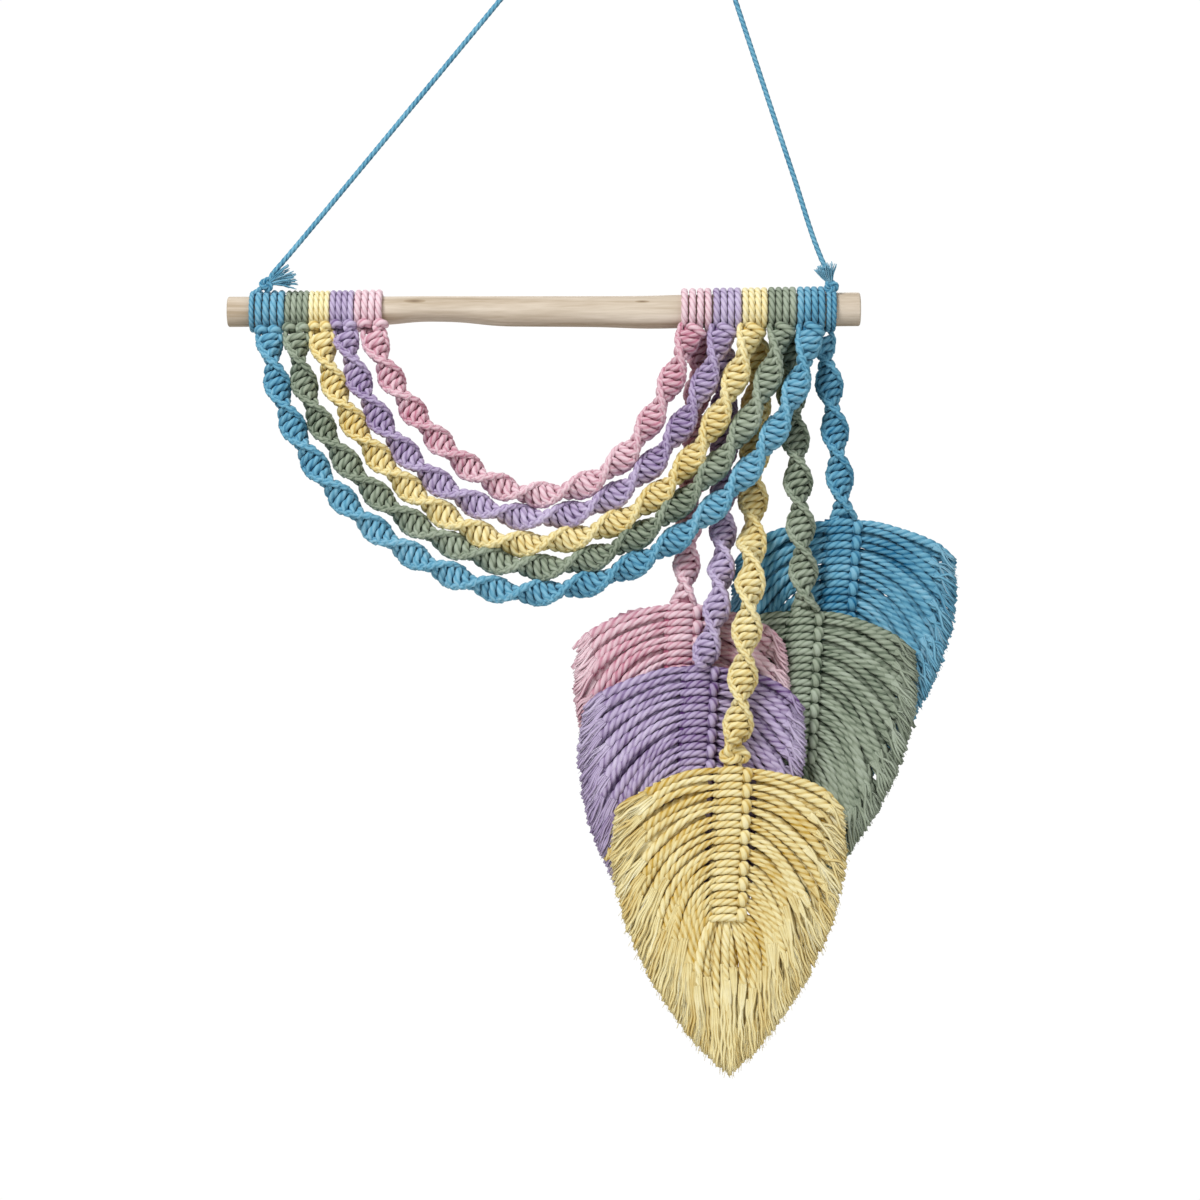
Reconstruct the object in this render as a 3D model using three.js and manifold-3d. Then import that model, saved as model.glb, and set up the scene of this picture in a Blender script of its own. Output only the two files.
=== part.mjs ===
// A rainbow leaf wall hanging in macrame: five spiral garlands hang in nested bows from a wooden
// dowel, and the cords of each one go on behind the bows as a twisted tail that ends in a leaf.
// Millimetres, +Z up, the front faces -Y. The origin is where the hanging cord rides on its hook.
import * as THREE from "three";
import { mergeVertices } from "three/addons/utils/BufferGeometryUtils.js";
import Module from "manifold-3d";

const wasm = await Module();
wasm.setup();

// Space kept between pieces that touch.
const GAP = 0.3;
// Points taken along a curve where the distance to it is measured.
const CURVE_SAMPLES = 24;
// The way that the front of the hanging faces.
const FRONT = new THREE.Vector3(0, -1, 0);

// The dowel is a hand-cut stick: each row gives its upper and lower edge at one place.
const DOWEL_SIDES = 14;
const DOWEL_SECTIONS = [
  { x: -217.5, top: -242.6, bottom: -256.2 },
  { x: -216.5, top: -242.0, bottom: -257.0 },
  { x: -139.5, top: -241.7, bottom: -256.2 },
  { x: -121.5, top: -241.5, bottom: -254.2 },
  { x: -101.5, top: -241.5, bottom: -254.5 },
  { x: -81.5, top: -241.5, bottom: -256.7 },
  { x: -31.5, top: -241.5, bottom: -257.0 },
  { x: -9.0, top: -241.4, bottom: -257.9 },
  { x: 8.5, top: -240.8, bottom: -257.6 },
  { x: 86.5, top: -239.7, bottom: -256.6 },
  { x: 97.5, top: -239.6, bottom: -256.5 },
  { x: 98.5, top: -240.3, bottom: -255.8 },
];
const DOWEL_LEAST_DEPTH = 15;

// Wraps of cord round the dowel, side by side, at both ends of each garland.
const WRAP_RISE = 2.9;
const WRAP_GROOVE = 0.9;
const WRAP_SIDES = 10;
const WRAPS = 4;

// A spiral of half knots: a flat section that makes a half turn from one broad face to the next.
const SPIRAL_HALF_WIDTH = 6.4;
const SPIRAL_HALF_THICKNESS = 4;
const SPIRAL_SIDES = 6;
const SPIRAL_STEPS_PER_LOBE = 3;
const SPIRAL_HEAD_HALF_THICKNESS = 2.4;
const SPIRAL_HEAD_LENGTH = 12;
const SPIRAL_HEAD_IN_WRAPS = 0.4;

// Depths, measured from the dowel's middle towards the back: the garlands bow out over the tails.
const GARLAND_HEAD_Y = -7.6;
const GARLAND_Y = -11.2;
const GARLAND_SETTLES_IN = 16;
const TAIL_HEAD_Y = 5;
const TAIL_Y = 4.3;
const TAIL_SETTLES_IN = 12;
const TAIL_CROSSES_IN = 52;
const TAIL_JOINS_IN = 14;

// Each garland is two curves that meet level at its lowest point. The handles are the pull of
// the curves at the wraps (in and down) and to both sides of the lowest point. The broad face
// looks to the front at firstLobe and then at every leftPitch, and past leftLobes at rightPitch.
const GARLANDS = [
  {
    colour: "pink", left: -146, right: 17, lowX: -63.7, lowZ: -340.3,
    leftIn: 2, leftDown: 26, levelLeft: 34, levelRight: 44, rightIn: 22, rightDown: 42,
    wrapsLeft: [-154, -139.5], wrapsRight: [8.6, 24.4],
    firstLobe: 24.7, leftLobes: 5, leftPitch: 20.1, rightPitch: 22.2,
  },
  {
    colour: "purple", left: -160, right: 32.5, lowX: -62.2, lowZ: -351.7,
    leftIn: 8, leftDown: 44, levelLeft: 50, levelRight: 57, rightIn: 12, rightDown: 22,
    wrapsLeft: [-166.2, -154.4], wrapsRight: [24.8, 39],
    firstLobe: 21.6, leftLobes: 5, leftPitch: 22.8, rightPitch: 23.6,
  },
  {
    colour: "yellow", left: -171.5, right: 46, lowX: -71.4, lowZ: -364.7,
    leftIn: 8.3, leftDown: 64, levelLeft: 26, levelRight: 64, rightIn: 22, rightDown: 55,
    wrapsLeft: [-176.8, -166.6], wrapsRight: [39.4, 51.9],
    firstLobe: 25.7, leftLobes: 6, leftPitch: 21.9, rightPitch: 22.9,
  },
  {
    colour: "green", left: -183, right: 60, lowX: -59.5, lowZ: -376.3,
    leftIn: 1.2, leftDown: 66, levelLeft: 52, levelRight: 48, rightIn: 11.9, rightDown: 52,
    wrapsLeft: [-189, -177.2], wrapsRight: [52.3, 66.3],
    firstLobe: 24.5, leftLobes: 7, leftPitch: 23.1, rightPitch: 24.8,
  },
  {
    colour: "blue", left: -198.5, right: 75, lowX: -68, lowZ: -390.1,
    leftIn: 11.6, leftDown: 90, levelLeft: 35, levelRight: 63, rightIn: 10.4, rightDown: 60,
    wrapsLeft: [-204.2, -189.4], wrapsRight: [66.7, 80.6],
    firstLobe: 23.8, leftLobes: 8, leftPitch: 22.8, rightPitch: 23.9,
  },
];

// Each tail drops from behind the right-hand wraps to the top of its leaf. It drifts sideways as
// a power of the way down, and from the height overFrom it comes forward to the depth overY to
// pass over other leaves. endY is its depth where it meets its own leaf.
const TAILS = [
  {
    colour: "pink", x: 18, drift: 2, firstLobe: 7.5, lobePitch: 21,
    overY: -2.8, overFrom: -350, endY: -2.8, endKnot: false,
  },
  {
    colour: "purple", x: 31.5, drift: 3, firstLobe: 18.8, lobePitch: 19.8,
    overY: -12.4, overFrom: -352, endY: -11.6, endKnot: false,
  },
  {
    colour: "yellow", x: 47, drift: 1.4, firstLobe: 14.4, lobePitch: 22.2,
    overY: -17.9, overFrom: -346, endY: -15.2, endKnot: true,
  },
  {
    colour: "green", x: 61.5, drift: 1, firstLobe: 7.8, lobePitch: 21.6,
    overY: -1.9, overFrom: -290, endY: 1, endKnot: false,
  },
  {
    colour: "blue", x: 78.5, drift: 1, firstLobe: 23.5, lobePitch: 23,
    overY: 5.5, overFrom: -290, endY: 7, endKnot: false,
  },
];

// A small knot ends the yellow tail: its neck and its middle as shares of the tail's width.
const END_KNOT_LENGTH = 14;
const END_KNOT_NECK = 0.55;
const END_KNOT_MIDDLE = 0.9;

// The leaves hang one over another, the blue one next to the wall. lean is how far the tip
// lies to the right of the stem's top.
const LEAVES = [
  { colour: "pink", x: 12, top: -396.4, y: -2.8, left: 57.5, right: 51.5, length: 152, lean: 1 },
  { colour: "purple", x: 25, top: -426.2, y: -8.2, left: 66, right: 51.5, length: 154, lean: 1 },
  { colour: "yellow", x: 37, top: -476.2, y: -15.2, left: 62, right: 57, length: 153.5, lean: -4 },
  { colour: "green", x: 74.5, top: -398.8, y: 2.6, left: 55, right: 51.5, length: 150, lean: 1 },
  { colour: "blue", x: 91.5, top: -353, y: 8, left: 55, right: 55.5, length: 150, lean: 2 },
];
// Where the locks end, from the shoulder to the tip, as shares of the half width and the length.
const LEAF_EDGE = [
  { out: 0.97, down: 0.14 },
  { out: 1.0, down: 0.29 },
  { out: 0.94, down: 0.46 },
  { out: 0.79, down: 0.64 },
  { out: 0.55, down: 0.8 },
  { out: 0.25, down: 0.93 },
  { out: 0.04, down: 1.0 },
];
const STEM_KNOTS = 8;
const STEM_LENGTH = 77;
const STEM_HALF_WIDTH = 9.2;
const STEM_HALF_THICKNESS = 3.2;
const STEM_NOTCH = 0.75;
// Corners of the stem's section, as shares of its half width and half thickness.
const STEM_SECTION = [
  { across: 1, front: -0.6 },
  { across: 1, front: 0.6 },
  { across: 0.45, front: 1 },
  { across: -0.45, front: 1 },
  { across: -1, front: 0.6 },
  { across: -1, front: -0.6 },
  { across: -0.45, front: -1 },
  { across: 0.45, front: -1 },
];
const LOCKS_PER_SIDE = 14;
const LOCKS_BELOW_STEM = 4;
const LOCK_STEPS = 3;
// A lock's section is a low roof with its ridge to the front.
const LOCK_SECTION = [
  { across: -1, front: -0.5 },
  { across: 1, front: -0.5 },
  { across: 0, front: 0.5 },
];
const LOCK_SHARE_OF_SPACE = 0.82;
const LOCK_ROOT_THICKNESS = 2.6;
const LOCK_END_THICKNESS = 2.2;
const LOCK_ROOT_DEPTH = 4;
const LOCK_PULL = 0.38;
// Locks end short of the edge by none to four of these shares of its distance, in turn.
const LOCK_UNEVENNESS = 0.005;
// How far below level the locks point at their roots and ends, from the shoulder to the tip.
const LOCK_ANGLES = [
  { root: 10, end: 36 },
  { root: 15, end: 58 },
  { root: 23, end: 68 },
  { root: 38, end: 76 },
  { root: 64, end: 86 },
];

// The hanging cord runs straight from one knot, round the hook, to the other.
const CORD_DIAMETER = 2.7;
const CORD_SIDES = 8;
const CORD_STEPS = 73;
const CORD_ROUTE = [
  [-194.3, -6.5, -230.7], [-188.2, -6.3, -223.6], [-160.0, -5.3, -189.6], [-120.0, -4.0, -141.0],
  [-80.0, -2.6, -92.3], [-40.0, -1.3, -43.7], [-12.0, -0.3, -9.6], [-5.0, 0.0, -1.1],
  [-2.7, 0.0, 0.75], [0.0, 0.0, 1.35], [2.9, 0.0, 0.65], [5.1, 0.0, -1.2],
  [6.2, 0.0, -3.3], [9.0, -0.2, -11.8], [25.0, -1.5, -60.4], [45.0, -3.1, -121.2],
  [65.0, -4.8, -182.1], [78.4, -5.9, -222.5], [81.9, -6.2, -230.6],
];

// The ties at both ends of the dowel: loops round the wood, an overhand knot and a frayed tuft.
// The tuft's angles are degrees from +X towards +Z, and so is that of the bow of the knot that
// looks up the hanging cord. leaving is where the strand leaves the loops, from their front.
const TIES = [
  {
    name: "left_tie", loops: [-207.5, -204.8], loopCount: 1, leaving: 73,
    knot: [-198.2, -6.5, -235.4], bow: 50.5,
    tuftFrom: -18, tuftTo: 32, tuftForward: 0.1, tuftLength: 15,
  },
  {
    name: "right_tie", loops: [81.2, 86.2], loopCount: 2, leaving: 55,
    knot: [84.2, -6.4, -236], bow: 108,
    tuftFrom: 80, tuftTo: 136, tuftForward: 0.32, tuftLength: 12,
  },
];
const KNOT_RADIUS = 2.25;
const KNOT_CORD_RADIUS = 0.9;
const KNOT_STEPS = 15;
const KNOT_SIDES = 4;
const TUFT_LOCKS = 5;
// The locks of a tuft have the shares of its length in turn.
const TUFT_LENGTHS = [0.8, 1, 0.9];
const TUFT_ROOT_FROM_MIDDLE = 1.7;
const TUFT_LOCK_ROOT = 1.1;
const TUFT_LOCK_END = 2.2;

const COLOURS = {
  pink: 0xe2b7c1,
  purple: 0xb1a2c4,
  yellow: 0xecdca0,
  green: 0x98a68c,
  blue: 0x6fb0d2,
  wood: 0xdccbae,
};

function finish(colour) {
  return new THREE.MeshStandardMaterial({ color: COLOURS[colour], roughness: 0.9, metalness: 0 });
}

function piece(name, geometry, colour) {
  const mesh = new THREE.Mesh(geometry, finish(colour));
  mesh.name = name;
  return mesh;
}

// A closed ring of points on an ellipse, as a shape.
function oval(sides, halfWidth, halfThickness) {
  const points = [];
  for (let i = 0; i < sides; i += 1) {
    const angle = (2 * Math.PI * i) / sides;
    points.push(new THREE.Vector2(halfWidth * Math.cos(angle), halfThickness * Math.sin(angle)));
  }
  return new THREE.Shape(points);
}

// Carries a section through the steps of a straight bar, whose corners place(t, x, y) then moves,
// with t from 0 at the start to 1 at the end.
function carry(section, steps, place) {
  const bar = new THREE.ExtrudeGeometry(section, { depth: 1, steps, bevelEnabled: false });
  const corners = bar.getAttribute("position");
  for (let i = 0; i < corners.count; i += 1) {
    const moved = place(corners.getZ(i), corners.getX(i), corners.getY(i));
    corners.setXYZ(i, moved.x, moved.y, moved.z);
  }
  return bar;
}

// The two directions across a path that goes along tangent: to its side and to the front.
function across(tangent) {
  const side = new THREE.Vector3().crossVectors(FRONT, tangent).normalize();
  const front = new THREE.Vector3().crossVectors(tangent, side);
  return { side, front };
}

function offset(centre, a, alongA, b, alongB) {
  return centre.clone().addScaledVector(a, alongA).addScaledVector(b, alongB);
}

function solidOf(geometry) {
  const bare = geometry.clone();
  bare.deleteAttribute("normal");
  bare.deleteAttribute("uv");
  const merged = mergeVertices(bare, 1e-4);
  return new wasm.Manifold(
    new wasm.Mesh({
      numProp: 3,
      vertProperties: merged.getAttribute("position").array,
      triVerts: new Uint32Array(merged.index.array),
    }),
  );
}

// Joins closed geometries that overlap into one.
function fuse(geometries) {
  const joined = geometries.map(solidOf).reduce((whole, next) => whole.add(next));
  const { vertProperties, triVerts } = joined.getMesh();
  return new THREE.BufferGeometry()
    .setAttribute("position", new THREE.BufferAttribute(vertProperties, 3))
    .setIndex(new THREE.BufferAttribute(triVerts, 1));
}

// The dowel's middle height and radius at x, between the rows of its table.
function dowelAt(x) {
  const last = DOWEL_SECTIONS.length - 1;
  const next = THREE.MathUtils.clamp(DOWEL_SECTIONS.findIndex((row) => row.x > x), 1, last);
  const before = DOWEL_SECTIONS[next - 1];
  const after = DOWEL_SECTIONS[next];
  const share = THREE.MathUtils.clamp((x - before.x) / (after.x - before.x), 0, 1);
  const top = THREE.MathUtils.lerp(before.top, after.top, share);
  const bottom = THREE.MathUtils.lerp(before.bottom, after.bottom, share);
  return { z: (top + bottom) / 2, radius: (top - bottom) / 2 };
}

function underDowel(x) {
  const wood = dowelAt(x);
  return wood.z - wood.radius;
}

function dowel() {
  const steps = DOWEL_SECTIONS.length - 1;
  return carry(oval(DOWEL_SIDES, 1, 1), steps, (t, x, y) => {
    const index = Math.round(t * steps);
    const row = DOWEL_SECTIONS[index];
    const radius = (row.top - row.bottom) / 2;
    const atAnEnd = index === 0 || index === steps;
    const halfDepth = atAnEnd ? radius : Math.max(radius, DOWEL_LEAST_DEPTH / 2);
    return new THREE.Vector3(row.x, x * halfDepth, (row.top + row.bottom) / 2 + y * radius);
  });
}

// Wraps side by side round the dowel from one x to the other, each one a ridge.
function wraps([from, to], count) {
  const start = dowelAt(from);
  const end = dowelAt(to);
  const wood = Math.max(start.radius, end.radius, DOWEL_LEAST_DEPTH / 2);
  const inner = (wood + GAP) / Math.cos(Math.PI / WRAP_SIDES);
  const outer = wood + WRAP_RISE;
  const pitch = (to - from) / count;
  const profile = [new THREE.Vector2(inner, 0)];
  for (let i = 0; i < count; i += 1) {
    profile.push(new THREE.Vector2(outer - WRAP_GROOVE, i * pitch));
    profile.push(new THREE.Vector2(outer, (i + 0.5) * pitch));
  }
  profile.push(new THREE.Vector2(outer - WRAP_GROOVE, to - from));
  profile.push(new THREE.Vector2(inner, to - from));
  profile.push(profile[0].clone());
  return new THREE.LatheGeometry(profile, WRAP_SIDES)
    .rotateZ(-Math.PI / 2)
    .translate(from, 0, (start.z + end.z) / 2);
}

// A spiral along path(t), which gives { centre, tangent }, with turnAt(along) as the angle by
// which the broad face has turned from the front. The spiral is left-handed.
function spiral(length, lobePitch, path, turnAt, sizeAt) {
  const steps = Math.round((SPIRAL_STEPS_PER_LOBE * length) / lobePitch);
  return carry(oval(SPIRAL_SIDES, 1, 1), steps, (t, x, y) => {
    const { centre, tangent } = path(t);
    const { side, front } = across(tangent);
    const { width, thickness } = sizeAt(t * length);
    const turn = turnAt(t * length);
    const broad = offset(new THREE.Vector3(), side, Math.cos(turn), front, -Math.sin(turn));
    const narrow = new THREE.Vector3().crossVectors(tangent, broad);
    return offset(centre, broad, x * width, narrow, y * thickness);
  });
}

// The curve of a garland from its left-hand wraps to its right-hand ones.
function garlandCurve(row) {
  const leftTop = underDowel(row.left) + SPIRAL_HEAD_IN_WRAPS;
  const rightTop = underDowel(row.right) + SPIRAL_HEAD_IN_WRAPS;
  const low = new THREE.Vector3(row.lowX, 0, row.lowZ);
  const curve = new THREE.CurvePath();
  curve.add(
    new THREE.CubicBezierCurve3(
      new THREE.Vector3(row.left, 0, leftTop),
      new THREE.Vector3(row.left + row.leftIn, 0, leftTop - row.leftDown),
      new THREE.Vector3(row.lowX - row.levelLeft, 0, row.lowZ),
      low,
    ),
  );
  curve.add(
    new THREE.CubicBezierCurve3(
      low,
      new THREE.Vector3(row.lowX + row.levelRight, 0, row.lowZ),
      new THREE.Vector3(row.right - row.rightIn, 0, rightTop - row.rightDown),
      new THREE.Vector3(row.right, 0, rightTop),
    ),
  );
  return curve;
}

function garland(row) {
  const curve = garlandCurve(row);
  const length = curve.getLength();
  const smooth = THREE.MathUtils.smoothstep;
  const path = (t) => {
    const centre = curve.getPointAt(t);
    const fromEnd = length * Math.min(t, 1 - t);
    centre.y = THREE.MathUtils.lerp(GARLAND_HEAD_Y, GARLAND_Y, smooth(fromEnd, 0, GARLAND_SETTLES_IN));
    return { centre, tangent: curve.getTangentAt(t) };
  };
  // The spiral starts at the first broad face and stops at the last one, next to the wraps.
  const midway = row.firstLobe + row.leftLobes * row.leftPitch;
  const rightLobes = Math.floor((length - midway) / row.rightPitch);
  const lobeNumber = (along) =>
    along < midway ? (along - midway) / row.leftPitch : (along - midway) / row.rightPitch;
  const turnAt = (along) =>
    Math.PI * THREE.MathUtils.clamp(lobeNumber(along), -row.leftLobes - 1, rightLobes);
  const sizeAt = (along) => {
    const grown = smooth(Math.min(along, length - along), 0, SPIRAL_HEAD_LENGTH);
    const [from, to] = along < length / 2 ? row.wrapsLeft : row.wrapsRight;
    const headWidth = Math.min(SPIRAL_HALF_WIDTH, (to - from) / 2 - GAP);
    return {
      width: THREE.MathUtils.lerp(headWidth, SPIRAL_HALF_WIDTH, grown),
      thickness: THREE.MathUtils.lerp(SPIRAL_HEAD_HALF_THICKNESS, SPIRAL_HALF_THICKNESS, grown),
    };
  };
  return fuse([
    wraps(row.wrapsLeft, WRAPS),
    wraps(row.wrapsRight, WRAPS),
    spiral(length, row.leftPitch, path, turnAt, sizeAt),
  ]);
}

function tail(row) {
  const leafRow = LEAVES.find((one) => one.colour === row.colour);
  const top = underDowel(row.x) - WRAP_RISE - GAP;
  const bottom = leafRow.top + GAP;
  const length = top - bottom;
  const smooth = THREE.MathUtils.smoothstep;
  const down = new THREE.Vector3(0, 0, -1);
  const path = (t) => {
    const z = top - t * length;
    const x = THREE.MathUtils.lerp(row.x, leafRow.x, t ** row.drift);
    const settled = THREE.MathUtils.lerp(TAIL_HEAD_Y, TAIL_Y, smooth(top - z, 0, TAIL_SETTLES_IN));
    const over = smooth(row.overFrom - z, 0, TAIL_CROSSES_IN);
    const joins = smooth(bottom + TAIL_JOINS_IN - z, 0, TAIL_JOINS_IN);
    const y = THREE.MathUtils.lerp(THREE.MathUtils.lerp(settled, row.overY, over), row.endY, joins);
    return { centre: new THREE.Vector3(x, y, z), tangent: down };
  };
  const turnAt = (along) => (Math.PI * (along - row.firstLobe)) / row.lobePitch;
  const sizeAt = (along) => {
    const left = length - along;
    const bulge = Math.sin((Math.PI * left) / END_KNOT_LENGTH);
    const inKnot = row.endKnot && left < END_KNOT_LENGTH;
    const share = inKnot ? THREE.MathUtils.lerp(END_KNOT_NECK, END_KNOT_MIDDLE, bulge) : 1;
    return { width: SPIRAL_HALF_WIDTH * share, thickness: SPIRAL_HALF_THICKNESS };
  };
  return spiral(length, row.lobePitch, path, turnAt, sizeAt);
}

function sectionOf(table) {
  return new THREE.Shape(table.map((corner) => new THREE.Vector2(corner.across, corner.front)));
}

// The stem of a leaf: a flat bar with a ridge for each of its knots.
function stem(row) {
  const steps = 2 * STEM_KNOTS;
  return carry(sectionOf(STEM_SECTION), steps, (t, x, y) => {
    const onRidge = Math.round(t * steps) % 2 === 1;
    const scale = onRidge ? 1 : STEM_NOTCH;
    const lean = (row.lean * t * STEM_LENGTH) / row.length;
    return new THREE.Vector3(
      row.x + lean + x * STEM_HALF_WIDTH,
      row.y - y * scale * STEM_HALF_THICKNESS,
      row.top - t * STEM_LENGTH,
    );
  });
}

// The directions of a lock at its root and its end, between the rows of their table.
function lockAngles(share) {
  const place = share * (LOCK_ANGLES.length - 1);
  const row = Math.min(Math.floor(place), LOCK_ANGLES.length - 2);
  const [above, below] = [LOCK_ANGLES[row], LOCK_ANGLES[row + 1]];
  return {
    root: THREE.MathUtils.degToRad(THREE.MathUtils.lerp(above.root, below.root, place - row)),
    end: THREE.MathUtils.degToRad(THREE.MathUtils.lerp(above.end, below.end, place - row)),
  };
}

// One lock's curve. Locks are counted from the top of the left side, down round the stem's
// foot and up the right side, and end on the leaf's edge.
function lockCurve(leaf, index) {
  const all = 2 * LOCKS_PER_SIDE + LOCKS_BELOW_STEM;
  const hand = index < all / 2 ? -1 : 1;
  const fromTop = hand < 0 ? index : all - 1 - index;
  const share = fromTop / (all / 2 - 1);
  const halfWidth = hand < 0 ? leaf.left : leaf.right;
  const edge = new THREE.SplineCurve(LEAF_EDGE.map((row) => new THREE.Vector2(row.out, row.down)));
  const reach = 1 - LOCK_UNEVENNESS * ((2 * index) % 5);
  const { x: out, y: down } = edge.getPointAt(share).multiplyScalar(reach);
  const leanAt = (depth) => (leaf.lean * depth) / leaf.length;
  const below = fromTop >= LOCKS_PER_SIDE;
  const rootPitch = STEM_LENGTH / LOCKS_PER_SIDE;
  const footPitch = (2 * (STEM_HALF_WIDTH - LOCK_ROOT_DEPTH)) / LOCKS_BELOW_STEM;
  const rootDown = below ? STEM_LENGTH - LOCK_ROOT_DEPTH : (fromTop + 0.5) * rootPitch;
  const rootOut = below
    ? (LOCKS_BELOW_STEM / 2 - (fromTop - LOCKS_PER_SIDE) - 0.5) * footPitch
    : STEM_HALF_WIDTH - LOCK_ROOT_DEPTH;
  const angles = lockAngles(share);
  const rootAngle = below ? Math.PI / 2 : angles.root;
  const root = new THREE.Vector3(hand * rootOut + leanAt(rootDown), 0, -rootDown);
  const endDown = down * leaf.length;
  const end = new THREE.Vector3(hand * out * halfWidth + leanAt(endDown), 0, -endDown);
  const pull = LOCK_PULL * root.distanceTo(end);
  const away = (angle) => new THREE.Vector3(hand * Math.cos(angle) * pull, 0, -Math.sin(angle) * pull);
  const place = new THREE.Vector3(leaf.x, leaf.y, leaf.top);
  return new THREE.CubicBezierCurve3(
    root.clone().add(place),
    root.clone().add(away(rootAngle)).add(place),
    end.clone().sub(away(angles.end)).add(place),
    end.clone().add(place),
  );
}

function distanceTo(curve, point) {
  return Math.min(...curve.getPoints(CURVE_SAMPLES).map((other) => other.distanceTo(point)));
}

// A lock is as wide as its neighbours leave room for, so it widens towards its brushed end.
// The direction across a lock looks at the next one in their count.
function lock(curves, index) {
  const own = curves[index];
  const next = curves[index + 1] ?? curves[index - 1];
  const last = curves[index - 1] ?? curves[index + 1];
  return carry(sectionOf(LOCK_SECTION), LOCK_STEPS, (t, x, y) => {
    const centre = own.getPoint(t);
    const { side, front } = across(own.getTangent(t));
    const room = distanceTo(x > 0 ? next : last, centre) / 2;
    const thickness = THREE.MathUtils.lerp(LOCK_ROOT_THICKNESS, LOCK_END_THICKNESS, t);
    return offset(centre, side, x * LOCK_SHARE_OF_SPACE * room, front, y * thickness);
  });
}

function leaf(row) {
  const curves = [];
  for (let i = 0; i < 2 * LOCKS_PER_SIDE + LOCKS_BELOW_STEM; i += 1) {
    curves.push(lockCurve(row, i));
  }
  return fuse([stem(row), ...curves.map((curve, index) => lock(curves, index))]);
}

function hangingCord() {
  const route = new THREE.CatmullRomCurve3(CORD_ROUTE.map((point) => new THREE.Vector3(...point)));
  const radius = CORD_DIAMETER / 2;
  return new THREE.ExtrudeGeometry(oval(CORD_SIDES, radius, radius), {
    steps: CORD_STEPS,
    extrudePath: route,
    bevelEnabled: false,
  });
}

// A lock of a frayed end, straight and widening, from root along the unit vector tangent.
function frayedLock(root, tangent, length) {
  const { side, front } = across(tangent);
  return carry(sectionOf(LOCK_SECTION), 1, (t, x, y) => {
    const width = THREE.MathUtils.lerp(TUFT_LOCK_ROOT, TUFT_LOCK_END, t);
    const centre = root.clone().addScaledVector(tangent, t * length);
    return offset(centre, side, (x * width) / 2, front, y * width);
  });
}

// Loops round the wood, one strand from them to the knot, the knot, and the frayed end.
function tie(row) {
  const cordRadius = CORD_DIAMETER / 2;
  const middle = new THREE.Vector3(...row.knot);
  const knot = new THREE.TorusKnotGeometry(KNOT_RADIUS, KNOT_CORD_RADIUS, KNOT_STEPS, KNOT_SIDES, 2, 3)
    .rotateZ(THREE.MathUtils.degToRad(row.bow))
    .rotateX(Math.PI / 2)
    .translate(middle.x, middle.y, middle.z);
  const loopX = (row.loops[0] + row.loops[1]) / 2;
  const wood = dowelAt(loopX);
  const loopMiddle = wood.radius + WRAP_RISE / 2 + GAP;
  const leaving = THREE.MathUtils.degToRad(row.leaving);
  const onLoop = new THREE.Vector3(
    loopX,
    -loopMiddle * Math.cos(leaving),
    wood.z + loopMiddle * Math.sin(leaving),
  );
  const towards = middle.clone().sub(onLoop).setLength(KNOT_RADIUS);
  const strand = new THREE.ExtrudeGeometry(oval(4, cordRadius, cordRadius), {
    steps: 1,
    extrudePath: new THREE.LineCurve3(onLoop, middle.clone().sub(towards)),
    bevelEnabled: false,
  });
  const tuft = [];
  for (let i = 0; i < TUFT_LOCKS; i += 1) {
    const share = i / (TUFT_LOCKS - 1);
    const angle = THREE.MathUtils.degToRad(THREE.MathUtils.lerp(row.tuftFrom, row.tuftTo, share));
    const tangent = new THREE.Vector3(Math.cos(angle), -row.tuftForward, Math.sin(angle)).normalize();
    const root = middle.clone().addScaledVector(tangent, TUFT_ROOT_FROM_MIDDLE);
    tuft.push(frayedLock(root, tangent, row.tuftLength * TUFT_LENGTHS[i % TUFT_LENGTHS.length]));
  }
  return fuse([wraps(row.loops, row.loopCount), strand, knot, ...tuft]);
}

const hanging = new THREE.Group();
hanging.add(piece("dowel", dowel(), "wood"));
hanging.add(piece("hanging_cord", hangingCord(), "blue"));
for (const row of TIES) {
  hanging.add(piece(row.name, tie(row), "blue"));
}
for (const row of GARLANDS) {
  hanging.add(piece(`${row.colour}_garland`, garland(row), row.colour));
}
for (const row of TAILS) {
  hanging.add(piece(`${row.colour}_tail`, tail(row), row.colour));
}
for (const row of LEAVES) {
  hanging.add(piece(`${row.colour}_leaf`, leaf(row), row.colour));
}

export default hanging;
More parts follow.
